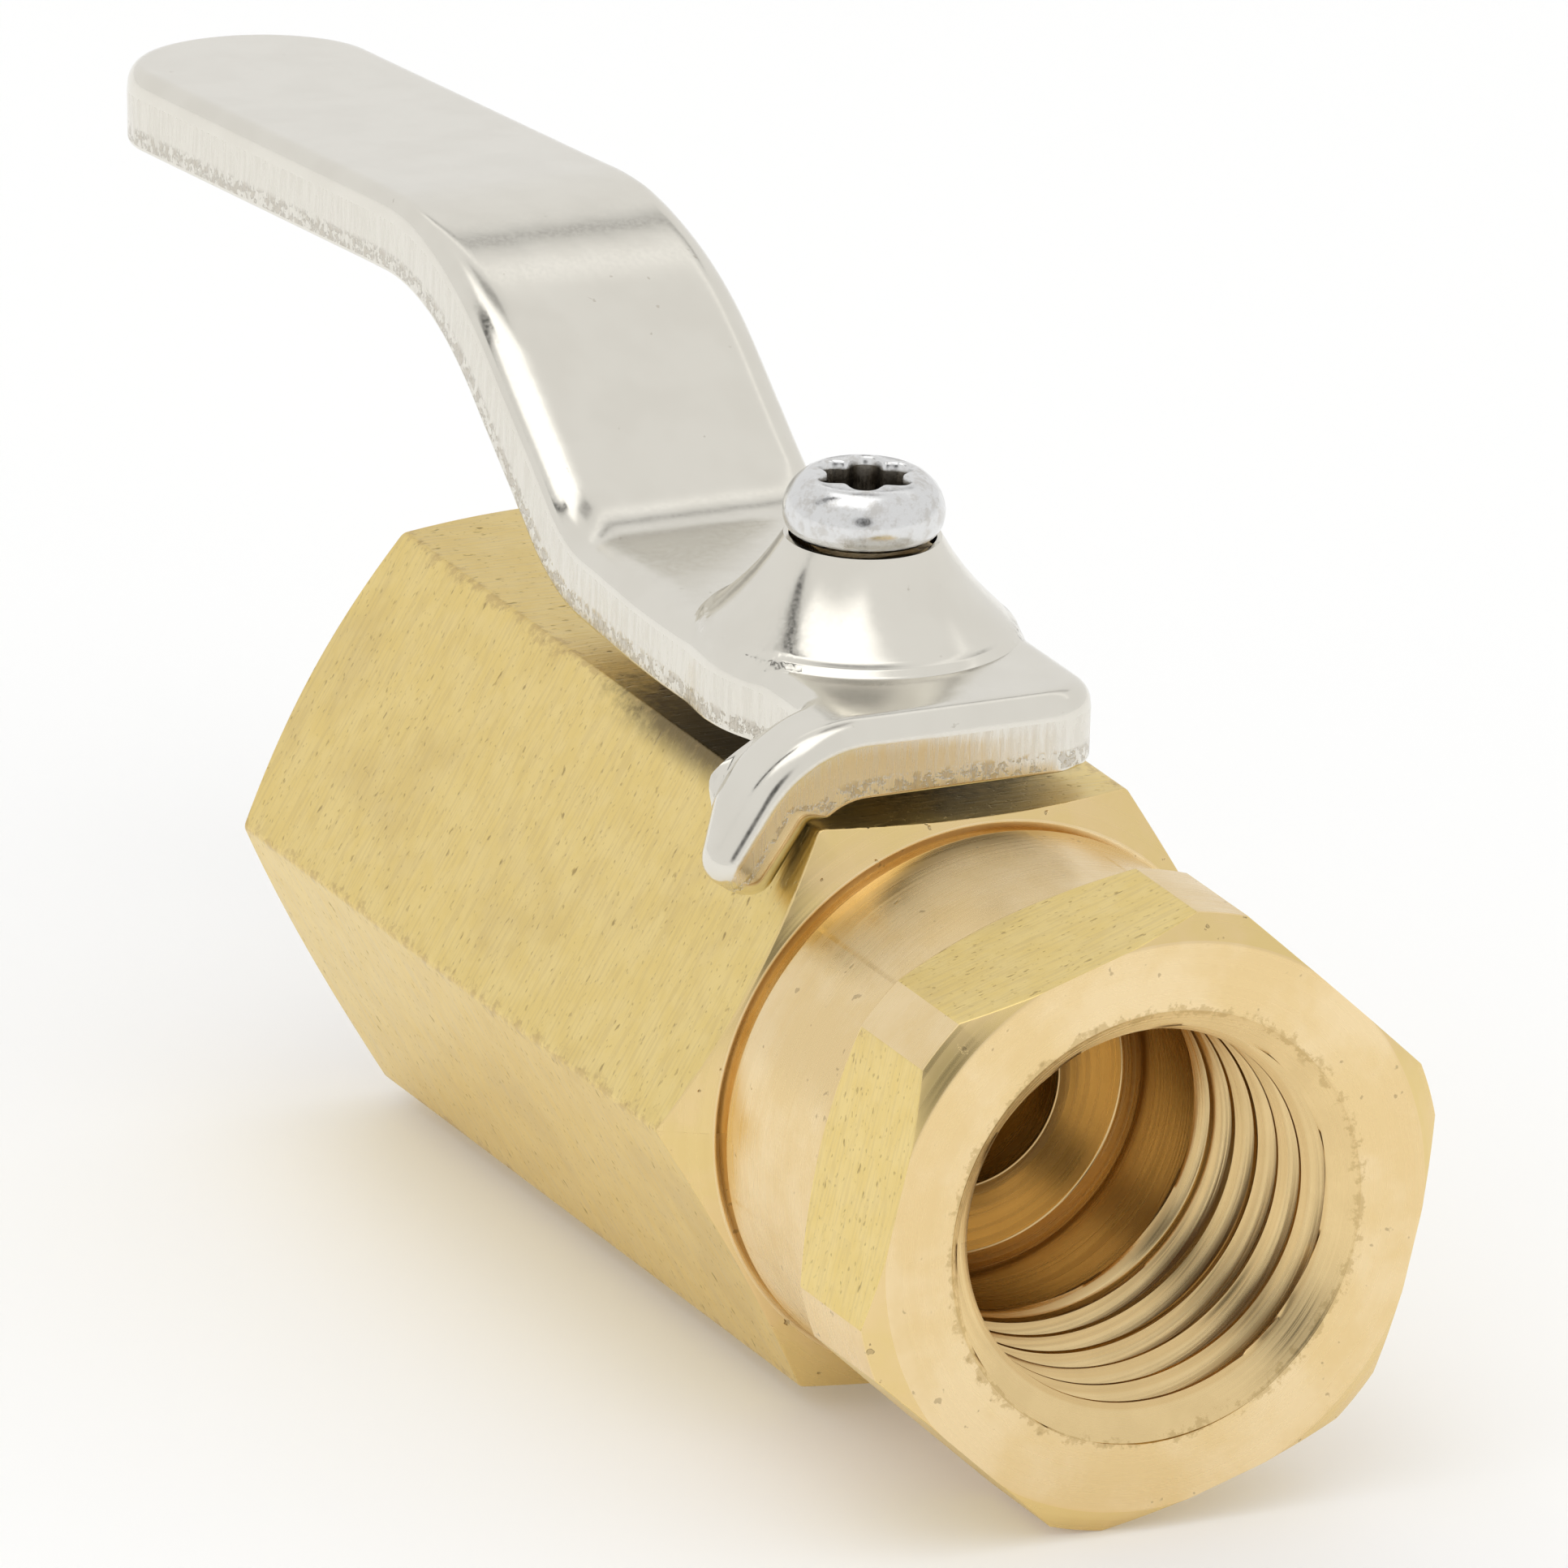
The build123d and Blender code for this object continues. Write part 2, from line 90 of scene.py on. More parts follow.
# ---- turned shapes of the body and the end connector ----
BODY_CORNER_RADIUS = 0.25
BODY_FACE_RADIUS = 8.58
CHAMFER_SLOPE = tan(radians(30))
SEAT_FAR = 5.6
SEAT_POCKET_RADIUS = 5.2
SEAT_POCKET_DEPTH = 1.5
CHAMBER_RADIUS = 5.6
JOINT_BORE_START = 25.0
JOINT_BORE_RADIUS = 7.25
JOINT_SPIGOT_RADIUS = 7.2
JOINT_MOUTH = 0.35
SPIGOT_TIP = connector_low.x
NECK_RADIUS = 8.1
NECK_LENGTH = 0.5
BARREL_RADIUS = 8.51
WRENCH_APOTHEM = 8.66
WRENCH_CORNER_RADIUS = 9.54
WRENCH_TURN = 17.8
WRENCH_START = 36.3
WRENCH_CONE_LENGTH = 0.84
WRENCH_FACE_RADIUS = 8.75
WRENCH_CHAMFER = 0.5
SPIGOT_CHAMFER = 0.4
MOUTH_EDGE = 0.06  # flat ring between the countersink and the face

# 1/4-18 pipe thread
PITCH = 25.4 / 18
TAPER = 1 / 32  # fall of the radius for each millimetre of depth
THREAD_MOUTH_RADIUS = 6.68
COUNTERSINK_SLOPE = 1.73  # fall of its radius for each millimetre of depth
THREAD_ROOT_RADIUS = 6.72  # at the mouth
THREAD_HEIGHT = 1.04
THREAD_FLAT = 0.1  # share of a half pitch that is flat at the crest
TAP_DRILL_RADIUS = 5.6
THREAD_FADE = (7.4, 9.6)  # depths between which the tap's lead makes the thread shallower
PORT_DEPTH = 12.4
PORT_FLOOR_RADIUS = 5.15
PORT_FLOOR_CHAMFER = 0.45
PORT_FLOOR_RINGS = (4.6, 4.0, 3.5)
FLOW_RADIUS = 3.05
FRONT_THREAD_PHASE = 40.476  # place of one groove on the +Y side of the front port
REAR_THREAD_PHASE = 0.6

# how finely the bars are meshed
THREAD_ROWS = 24  # rows of points in one turn of a thread
ROUND_STEPS = 4
ROUND_ROWS = ROUND_STEPS + 1  # rows of points that one rounded corner takes
LINES_BESIDE_CORNER = (0.24, 0.48, 0.715)  # degrees from each corner of the body
WRENCH_LINE_GAP = 0.35  # degrees, either side of the line where the flats begin

# materials of the brass pieces, in the order of their slots
FLAT, TURNED, BORE, RINGED = range(4)

SMOOTH_ANGLE = radians(28)  # edges sharper than this stay sharp
WELD = 2e-7  # metres between points that count as one


# ---- small tools ----
def smooth_step(start, end, value):
    """0 below start, 1 above end, and a smooth rise between them."""
    share = np.clip((value - start) / (end - start), 0, 1)
    return share * share * (3 - 2 * share)


def placed(name, data):
    """A new object in the scene that holds the data."""
    made = bpy.data.objects.new(name, data)
    bpy.context.scene.collection.objects.link(made)
    return made


def make_object(name, points, faces, materials, face_material):
    """A smooth mesh piece from points in millimetres. clean() marks its sharp edges later."""
    mesh = bpy.data.meshes.new(name)
    mesh.from_pydata((np.asarray(points) * MM).tolist(), [], faces)
    for material in materials:
        mesh.materials.append(material)
    mesh.polygons.foreach_set("material_index", np.asarray(face_material, np.int32))
    mesh.shade_smooth()
    return placed(name, mesh)


def clean(piece):
    """Joins points that lie on each other, drops faces of no size and marks sharp edges."""
    shape = bmesh.new()
    shape.from_mesh(piece.data)
    bmesh.ops.remove_doubles(shape, verts=shape.verts, dist=WELD)
    bmesh.ops.dissolve_degenerate(shape, edges=shape.edges, dist=WELD)
    bmesh.ops.recalc_face_normals(shape, faces=shape.faces)
    shape.to_mesh(piece.data)
    shape.free()
    piece.data.set_sharp_from_angle(angle=SMOOTH_ANGLE)


def weighted(piece):
    """Lets the large faces set the normals, so flats stay flat beside narrow rounded edges."""
    modifier = piece.modifiers.new("face_weighted_normals", "WEIGHTED_NORMAL")
    modifier.keep_sharp = True
    modifier.weight = 80


# ---- hexagon bars turned on a lathe ----
def hexagon_radius(angles, apothem, first_corner, corner_round):
    """Distance from the axis to a hexagon's outline, its corners rounded, at each angle."""
    from_flat = np.abs((np.degrees(angles) - first_corner) % 60 - 30)
    flat = apothem / np.cos(np.radians(from_flat))
    centre = (apothem - corner_round) / cos(radians(30))
    from_corner = np.radians(30 - from_flat)
    reach = np.sqrt(np.maximum(corner_round**2 - (centre * np.sin(from_corner)) ** 2, 0))
    tangent_angle = degrees(atan((apothem - corner_round) * tan(radians(30)) / apothem))
    return np.where(from_flat > tangent_angle, centre * np.cos(from_corner) + reach, flat)


def bar_angles(first_corner, close_to_corner):
    """Angles of the lengthwise lines of a bar's mesh, with extra ones beside each corner."""
    even = np.linspace(0, 60, 49)
    extra = [offset for near in close_to_corner for offset in (near, 60 - near)]
    sector = np.array(sorted(set(np.round([*even[:-1], *extra], 4))))
    whole = [first_corner + 60 * side + sector for side in range(6)]
    return np.radians(np.concatenate(whole))


def rounded(corners):
    """Rows of (x, radius) along a profile, its corners rounded. Each corner is (x, radius, round)."""
    rows = []
    count = len(corners)
    for index in range(count):
        x, r, size = corners[index]
        if np.max(size) == 0:
            rows.append((x, r))
            continue
        before, after = corners[index - 1], corners[(index + 1) % count]
        ax, ar = before[0] - x, before[1] - r
        bx, br = after[0] - x, after[1] - r
        a_length = np.maximum(np.hypot(ax, ar), 1e-9)
        b_length = np.maximum(np.hypot(bx, br), 1e-9)
        reach_a = np.minimum(size, 0.45 * a_length) / a_length
        reach_b = np.minimum(size, 0.45 * b_length) / b_length
        for t in np.arange(ROUND_ROWS) / ROUND_STEPS:
            wa, wb = (1 - t) ** 2 * reach_a, t**2 * reach_b
            rows.append((x + ax * wa + bx * wb, r + ar * wa + br * wb))
    return rows


def thread_radius(x, angles, face, phase):
    """Radius of a tapered pipe thread's surface at places x along the bore."""
    depth = np.abs(x - face)
    turn = (x - phase) / PITCH - angles / (2 * pi)
    from_groove = np.abs(turn - np.round(turn)) * 2
    height = np.clip((1 - from_groove - THREAD_FLAT) / (1 - 2 * THREAD_FLAT), 0, 1)
    fade = 1 - smooth_step(*THREAD_FADE, depth)
    crest = THREAD_ROOT_RADIUS - THREAD_HEIGHT - TAPER * depth
    radius = np.maximum(crest + THREAD_HEIGHT * height * fade, TAP_DRILL_RADIUS)
    countersink = THREAD_MOUTH_RADIUS - COUNTERSINK_SLOPE * depth
    return np.maximum(radius, countersink)


def thread_rows(angles, face, direction, phase):
    """Rows of (x, radius) down a threaded port. Each follows the helix and climbs THREAD_ROWS in a turn."""
    step = PITCH / THREAD_ROWS
    start = phase - PITCH * round((phase - face) / PITCH)
    end = face + direction * THREAD_FADE[1]
    low, high = min(face, end), max(face, end)
    first = start + PITCH * np.floor((low - start) / PITCH) - PITCH
    total = int(np.ceil((high - first) / step)) + 2 * THREAD_ROWS
    rows = []
    for index in range(total):
        x = np.clip(first + step * (index - THREAD_ROWS) + PITCH * angles / (2 * pi), low, high)
        rows.append((x, thread_radius(x, angles, face, phase)))
    return rows if direction > 0 else rows[::-1]


def ring_points(rows, angles):
    """Points of rows that go round the X axis."""
    points = []
    for x, r in rows:
        x, r = np.broadcast_to(x, angles.shape), np.broadcast_to(r, angles.shape)
        points.append(np.stack([x, r * np.cos(angles), r * np.sin(angles)], axis=1))
    return np.concatenate(points)


def bar_faces(row_count, column_count, climbs):
    """Faces of a closed loop of rows. climbs are (first row, last row, rows climbed in a turn)."""
    joined = np.arange(row_count)
    for first, last, climb in climbs:
        span = np.arange(first, last + 1)
        joined[span] = np.clip(span + climb, first, last)
    row = np.arange(row_count)
    after = (row + 1) % row_count
    faces = []
    for column in range(column_count):
        following = (column + 1) % column_count
        right, right_after = (joined, joined[after]) if following == 0 else (row, after)
        quads = np.stack([
            row * column_count + column,
            after * column_count + column,
            right_after * column_count + following,
            right * column_count + following,
        ], axis=1)
        faces.append(quads)
    return np.concatenate(faces)


def bar_object(name, blocks, angles, materials):
    """A turned bar. blocks are (rows, material index, rows climbed in a turn), in order round its section."""
    rows, climbs, row_material = [], [], []
    for block_rows, material, climb in blocks:
        if climb:
            climbs.append((len(rows), len(rows) + len(block_rows) - 1, climb))
        rows += block_rows
        row_material += [np.broadcast_to(material, angles.shape)] * len(block_rows)
    faces = bar_faces(len(rows), len(angles), climbs)
    face_material = np.stack(row_material, axis=1).ravel()
    points = ring_points(rows, angles)
    used = [len(set(face)) > 2 for face in faces.tolist()]
    faces = [face for face, keep in zip(faces.tolist(), used) if keep]
    piece = make_object(name, points, faces, materials, face_material[np.array(used)])
    clean(piece)
    return piece


def port_rows(face, direction, angles, phase):
    """Down a port: the thread's rows, how far they climb in a turn, and the rows to the flow bore."""
    climb = THREAD_ROWS * direction
    floor = face + direction * PORT_DEPTH
    wall_end = floor - direction * PORT_FLOOR_CHAMFER
    bore = [
        (wall_end, TAP_DRILL_RADIUS, 0.05),
        (floor, PORT_FLOOR_RADIUS, 0.06),
        *[(floor, radius, 0) for radius in PORT_FLOOR_RINGS],
        (floor, FLOW_RADIUS, 0.08),
    ]
    before = (face + direction * THREAD_FADE[1], TAP_DRILL_RADIUS, 0)
    after = (face + direction * (PORT_DEPTH + 1), FLOW_RADIUS, 0)
    rounded_bore = rounded([before, *bore, after])[1:-1]
    return thread_rows(angles, face, direction, phase), climb, rounded_bore


def valve_body(materials):
    """The hexagon body: flats, chamfers, rear port, chamber and joint bore. It has no stem hole."""
    angles = bar_angles(0, LINES_BESIDE_CORNER)
    flat = hexagon_radius(angles, BODY_APOTHEM, 0, BODY_CORNER_RADIUS)
    run = (flat - BODY_FACE_RADIUS) * CHAMFER_SLOPE
    threads, climb, bore = port_rows(0, 1, angles, REAR_THREAD_PHASE)
    seat_face = STEM_X - SEAT_FAR
    inside = rounded([
        (seat_face, FLOW_RADIUS, 0),
        (seat_face, SEAT_POCKET_RADIUS, 0),
        (seat_face + SEAT_POCKET_DEPTH, SEAT_POCKET_RADIUS, 0),
        (seat_face + SEAT_POCKET_DEPTH, CHAMBER_RADIUS, 0),
        (JOINT_BORE_START, CHAMBER_RADIUS, 0),
        (JOINT_BORE_START, JOINT_BORE_RADIUS, 0),
        (BODY_LENGTH - JOINT_MOUTH, JOINT_BORE_RADIUS, 0),
    ])
    outside = rounded([
        (BODY_LENGTH - JOINT_MOUTH, JOINT_BORE_RADIUS, 0),
        (BODY_LENGTH, JOINT_BORE_RADIUS + JOINT_MOUTH, 0.04),
        (BODY_LENGTH, BODY_FACE_RADIUS, 0.05),
        (BODY_LENGTH - run, flat, 0.07),
        (run, flat, 0.07),
        (0, BODY_FACE_RADIUS, 0.05),
        (0, THREAD_MOUTH_RADIUS + MOUTH_EDGE, 0),
        (0, TAP_DRILL_RADIUS, 0),
    ])[1:-1]
    # rows where each surface ends, within the rounding at both ends of both chamfers
    front_face, front_chamfer = 2 * ROUND_ROWS - 1, 3 * ROUND_ROWS - 2
    flats, rear_chamfer = 4 * ROUND_ROWS - 1, 5 * ROUND_ROWS - 2
    blocks = [
        (inside, BORE, 0),
        (outside[:front_face], TURNED, 0),
        (outside[front_face:front_chamfer], RINGED, 0),
        (outside[front_chamfer:flats], FLAT, 0),
        (outside[flats:rear_chamfer], RINGED, 0),
        (outside[rear_chamfer:], TURNED, 0),
        (threads, BORE, climb),
        (bore, BORE, 0),
    ]
    return bar_object("hex_body", blocks, angles, materials)


def end_connector(materials):
    """The screwed-in end connector: spigot, neck, barrel, wrench hexagon and front port."""
    cut = degrees(np.arccos(WRENCH_APOTHEM / WRENCH_CORNER_RADIUS))
    flats_begin = 30 - cut
    beside = (flats_begin, flats_begin + WRENCH_LINE_GAP, flats_begin - WRENCH_LINE_GAP)
    angles = bar_angles(WRENCH_TURN, beside)
    hexagon = hexagon_radius(angles, WRENCH_APOTHEM, WRENCH_TURN, 0.05)
    flat = np.minimum(hexagon, WRENCH_CORNER_RADIUS)
    threads, climb, bore = port_rows(OVERALL_LENGTH, -1, angles, FRONT_THREAD_PHASE)
    seat_face = STEM_X + SEAT_FAR
    neck_end = BODY_LENGTH + NECK_LENGTH
    cone_slope = WRENCH_CONE_LENGTH / (WRENCH_CORNER_RADIUS - BARREL_RADIUS)
    cone_end = WRENCH_START + cone_slope * (flat - BARREL_RADIUS)
    chamfer_slope = WRENCH_CHAMFER / (WRENCH_CORNER_RADIUS - WRENCH_FACE_RADIUS)
    chamfer = np.maximum(flat - WRENCH_FACE_RADIUS, 0) * chamfer_slope
    face_radius = np.minimum(flat, WRENCH_FACE_RADIUS)
    edge = np.where(flat > WRENCH_FACE_RADIUS + 0.02, 0.05, 0.02)
    inner = [
        (seat_face, FLOW_RADIUS),
        (seat_face, SEAT_POCKET_RADIUS),
        (SPIGOT_TIP, SEAT_POCKET_RADIUS),
        (SPIGOT_TIP, JOINT_SPIGOT_RADIUS - SPIGOT_CHAMFER),
        (SPIGOT_TIP + SPIGOT_CHAMFER, JOINT_SPIGOT_RADIUS),
        (BODY_LENGTH, JOINT_SPIGOT_RADIUS),
    ]
    neck = rounded([
        (BODY_LENGTH, JOINT_SPIGOT_RADIUS, 0),
        (BODY_LENGTH, NECK_RADIUS, 0),
        (neck_end - 0.02, NECK_RADIUS, 0.06),
        (neck_end, BARREL_RADIUS - 0.03, 0.14),
        (WRENCH_START - 1, BARREL_RADIUS, 0),
    ])[1:-1]
    wrench = rounded([
        (neck_end + 1, BARREL_RADIUS, 0),
        (WRENCH_START, BARREL_RADIUS, 0.12),
        (cone_end, flat, 0.05),
        (OVERALL_LENGTH - chamfer, flat, edge),
        (OVERALL_LENGTH, face_radius, 0.06),
        (OVERALL_LENGTH, THREAD_MOUTH_RADIUS + MOUTH_EDGE, 0),
        (OVERALL_LENGTH, TAP_DRILL_RADIUS, 0),
    ])[1:-1]
    milled = np.where(hexagon < WRENCH_CORNER_RADIUS, FLAT, TURNED)
    # rows where the cone, the sides and the chamfer's edge end
    cone, sides, chamfer_edge = 2 * ROUND_ROWS - 1, 3 * ROUND_ROWS - 2, 3 * ROUND_ROWS
    blocks = [
        (inner, BORE, 0),
        (neck, TURNED, 0),
        (wrench[:cone], TURNED, 0),
        (wrench[cone:sides], milled, 0),
        (wrench[sides:chamfer_edge], RINGED, 0),
        (wrench[chamfer_edge:], TURNED, 0),
        (threads, BORE, climb),
        (bore, BORE, 0),
    ]
    return bar_object("connector_body", blocks, angles, materials)


# ---- lever: a stamped plate, drawn flat and then bent ----
# In the flat plate s runs back from the front edge along the top line, v is the row's Y,
# and h is the height above the plate's top skin.
LEVER_TOP = 11.9
LEVER_THICKNESS = 2.4
BEND_1 = (10.5, 11.9)
BEND_2 = (1.56, 18.49)
LEVER_TIP = (-24.45, 16.02)
BEND_1_RADIUS = 4.3
BEND_2_RADIUS = 12.8
STEM_S = LEVER_FRONT - STEM_X
TONGUE_HALF_WIDTH = 4.45
HUB_RADIUS = 4.98
GRIP_HALF_WIDTH = 3.97
RISER_EXTRA = (0.38, 24, 36)  # extra half width, and the s between which it fades away
HUB_EXTRA = (0.5, 11, 21)
TONGUE_CORNER = 1.9
TOP_ROUND = ([0, 8, 13, 25, 32], [0.7, 0.75, 1.25, 1.25, 0.48])  # s, width of the rolled edge
TAB_ROUND = 0.95
TAB_TIP_ROUND = (1.7, 1.25)  # length and height of the rounding under the tab's end
TAB_UNDER_ROUND = 1.1
TAB_UNDER_BLEND = (-6.4, -7.6)  # v between which the underside takes that rounding
TOP_DROP = 0.76  # how far the top skin falls to its edge
BOTTOM_ROUND = 0.14
TAB_BEND_START = 3.555
TAB_BEND_RADIUS = 4.35
TAB_ANGLE = atan2(10.75 - 6.95, 7.75 - 5.3)
TAB_REACH = 10.6
TAB_WIDTH = 2.7
TAB_SLANT_START = 8.6
TAB_TIP_WIDTH = 1.45
TAB_BLEND = (2.3, 3.3)
BOSS_PROFILE = [  # radius from the stem's axis, height above the plate
    (2.2, 2.85), (2.35, 2.85), (2.42, 2.74), (2.75, 2.21), (3.15, 1.66), (3.6, 1.13),
    (4.0, 0.72), (4.35, 0.38), (4.48, 0.27), (4.6, 0.24), (4.68, 0.19), (4.76, 0.06), (4.86, 0.0), (9.0, 0.0),
]
BOSS_HOLE_RADIUS = 2.2
BOSS_FOOT_RADIUS = 5.0
BOSS_EXTRA_RINGS = {2.58, 2.95, 3.37, 3.8, 4.2}  # rings of points between the profile's own
POCKET_RADIUS = 2.6
POCKET_TOP = 0.5  # the pocket's ceiling, above the plate's top skin
EDGE_RINGS = (0.03, 0.08, 0.15, 0.24, 0.35, 0.48, 0.62, 0.77, 0.93)  # in from the outline
OUTLINE_STEP = 0.17
GRID_STEP = 0.26
GRID_MARGIN = 1.05  # width along the outline that the edge rings fill


def bent_line(points, radii, overrun=4.0, step=0.01):
    """Length along a filleted line, with the X, Z and heading of each of its points."""
    headings = [atan2(b[1] - a[1], b[0] - a[0]) for a, b in zip(points, points[1:])]
    lengths = [hypot(b[0] - a[0], b[1] - a[1]) for a, b in zip(points, points[1:])]
    turns = [(b - a + pi) % (2 * pi) - pi for a, b in zip(headings, headings[1:])]
    cuts = [radius * tan(abs(turn) / 2) for radius, turn in zip(radii, turns)]
    pieces = []
    for index, length in enumerate(lengths):
        lead = cuts[index - 1] if index else -overrun
        tail = cuts[index] if index < len(cuts) else -overrun
        pieces.append((length - lead - tail, 0))
        if index < len(turns):
            sense = turns[index] / abs(turns[index])
            pieces.append((radii[index] * abs(turns[index]), sense / radii[index]))
    total = sum(length for length, _ in pieces)
    s = np.arange(0, total, step)
    ends = np.cumsum([length for length, _ in pieces])
    bends = np.array([bend for _, bend in pieces])
    curvature = bends[np.minimum(np.searchsorted(ends, s), len(pieces) - 1)]
    heading = headings[0] + np.cumsum(curvature) * step
    x = points[0][0] - overrun * cos(headings[0]) + np.cumsum(np.cos(heading)) * step
    z = points[0][1] - overrun * sin(headings[0]) + np.cumsum(np.sin(heading)) * step
    return s - overrun, x, z, heading, total - 2 * overrun


def lever_place(s, v, h, line):
    """Row-frame points of the flat plate's (s, v, h)."""
    table_s, table_x, table_z, table_heading, _ = line
    x, z = np.interp(s, table_s, table_x), np.interp(s, table_s, table_z)
    heading = np.interp(s, table_s, table_heading)
    plate = np.stack([x + np.sin(heading) * h, v, z - np.cos(heading) * h], axis=1)
    past = -TAB_BEND_START - v
    turn = np.clip(past / TAB_BEND_RADIUS, 0, TAB_ANGLE)
    straight = np.maximum(past - TAB_BEND_RADIUS * TAB_ANGLE, 0)
    tab_y = -TAB_BEND_START - (TAB_BEND_RADIUS + h) * np.sin(turn) - straight * np.cos(turn)
    tab_z = LEVER_TOP - TAB_BEND_RADIUS + (TAB_BEND_RADIUS + h) * np.cos(turn) - straight * np.sin(turn)
    tab = np.stack([x, tab_y, tab_z], axis=1)
    share = np.where(past > 0, 1 - smooth_step(*TAB_BLEND, s), 0)[:, None]
    return plate * (1 - share) + tab * share


def filleted(points, step=0.16):
    """A polyline through (s, v, radius) corners, its corners turned into arcs."""
    made = []
    for index, (s, v, radius) in enumerate(points):
        if radius == 0:
            made.append((s, v))
            continue
        a, b = Vector(points[index - 1][:2]), Vector(points[index + 1][:2])
        corner = Vector((s, v))
        to_a, to_b = (a - corner).normalized(), (b - corner).normalized()
        half = to_a.angle(to_b) / 2
        centre = corner + (to_a + to_b).normalized() * radius / sin(half)
        start = corner + to_a * radius / tan(half) - centre
        end = corner + to_b * radius / tan(half) - centre
        swing = start.angle_signed(end)
        steps = max(4, int(abs(swing) * radius / step * 2))
        for share in np.linspace(0, 1, steps + 1):
            made.append(tuple(centre + Matrix.Rotation(-swing * share, 2) @ start))
    return made


def resampled(points, step):
    """Points spaced evenly along a closed outline."""
    closed = np.array([*points, points[0]])
    gaps = np.hypot(*np.diff(closed, axis=0).T)
    along = np.concatenate([[0], np.cumsum(gaps)])
    count = int(along[-1] / step)
    places = np.linspace(0, along[-1], count, endpoint=False)
    return np.stack([np.interp(places, along, closed[:, axis]) for axis in (0, 1)], axis=1)


def smooth_max(a, b, blend):
    """The larger of two values, with a small fillet where they cross."""
    mix = np.clip(0.5 + 0.5 * (a - b) / blend, 0, 1)
    return b * (1 - mix) + a * mix + blend * mix * (1 - mix)


def side_width(s):
    """Half width of the plate at each place along it, from the tongue to the grip."""
    hub = np.sqrt(np.maximum(HUB_RADIUS**2 - (s - STEM_S) ** 2, 0))
    tongue = np.where(s < STEM_S, TONGUE_HALF_WIDTH, 0)
    handle = GRIP_HALF_WIDTH
    for extra, start, end in (RISER_EXTRA, HUB_EXTRA):
        handle = handle + extra * (1 - smooth_step(start, end, s))
    handle = np.where(s < STEM_S, 0, handle)
    return smooth_max(hub, np.maximum(tongue, handle), 0.25)


def lever_outline(length):
    """Outline of the flat plate, from the tongue's free corner round by the tip and the tab."""
    tip_radius = GRIP_HALF_WIDTH
    tip_s = length - tip_radius
    run = np.arange(TONGUE_CORNER + 0.3, tip_s, 0.15)
    side = side_width(run)
    turn = np.linspace(pi / 2, -pi / 2, 80)
    tip = [(tip_s + tip_radius * cos(a), tip_radius * sin(a)) for a in turn]
    free_side = list(zip(run, side))
    tab_run = run[run > TAB_BLEND[1] + 0.2][::-1]
    tab_side = list(zip(tab_run, -side_width(tab_run)))
    front = filleted([
        (TAB_BLEND[1] + 0.1, -TONGUE_HALF_WIDTH, 0),
        (TAB_WIDTH, -TONGUE_HALF_WIDTH, 0.35),
        (TAB_WIDTH, -TAB_SLANT_START, 1.4),
        (TAB_TIP_WIDTH, -TAB_REACH, 0.95),
        (0, -TAB_REACH, 0.8),
        (0, TONGUE_HALF_WIDTH, TONGUE_CORNER),
        (TONGUE_CORNER + 0.2, TONGUE_HALF_WIDTH, 0),
    ])
    return resampled(free_side + tip + tab_side + front, OUTLINE_STEP)


def outline_distance(points, outline):
    """Distance from each point to a closed outline."""
    start, end = outline, np.roll(outline, -1, axis=0)
    run = end - start
    best = np.full(len(points), np.inf)
    for first in range(0, len(points), 2000):
        chunk = points[first:first + 2000, None, :]
        share = ((chunk - start) * run).sum(2) / (run * run).sum(1)
        nearest = start + np.clip(share, 0, 1)[..., None] * run
        best[first:first + 2000] = np.sqrt(((chunk - nearest) ** 2).sum(2)).min(1)
    return best


def inside_outline(points, outline):
    """Whether each point is inside a closed outline."""
    a, b = outline, np.roll(outline, -1, axis=0)
    py, ay, by = points[:, 1, None], a[:, 1], b[:, 1]
    crosses = (ay > py) != (by > py)
    at = a[:, 0] + (py - ay) / np.where(by == ay, 1, by - ay) * (b[:, 0] - a[:, 0])
    return (crosses & (points[:, 0, None] < at)).sum(1) % 2 == 1


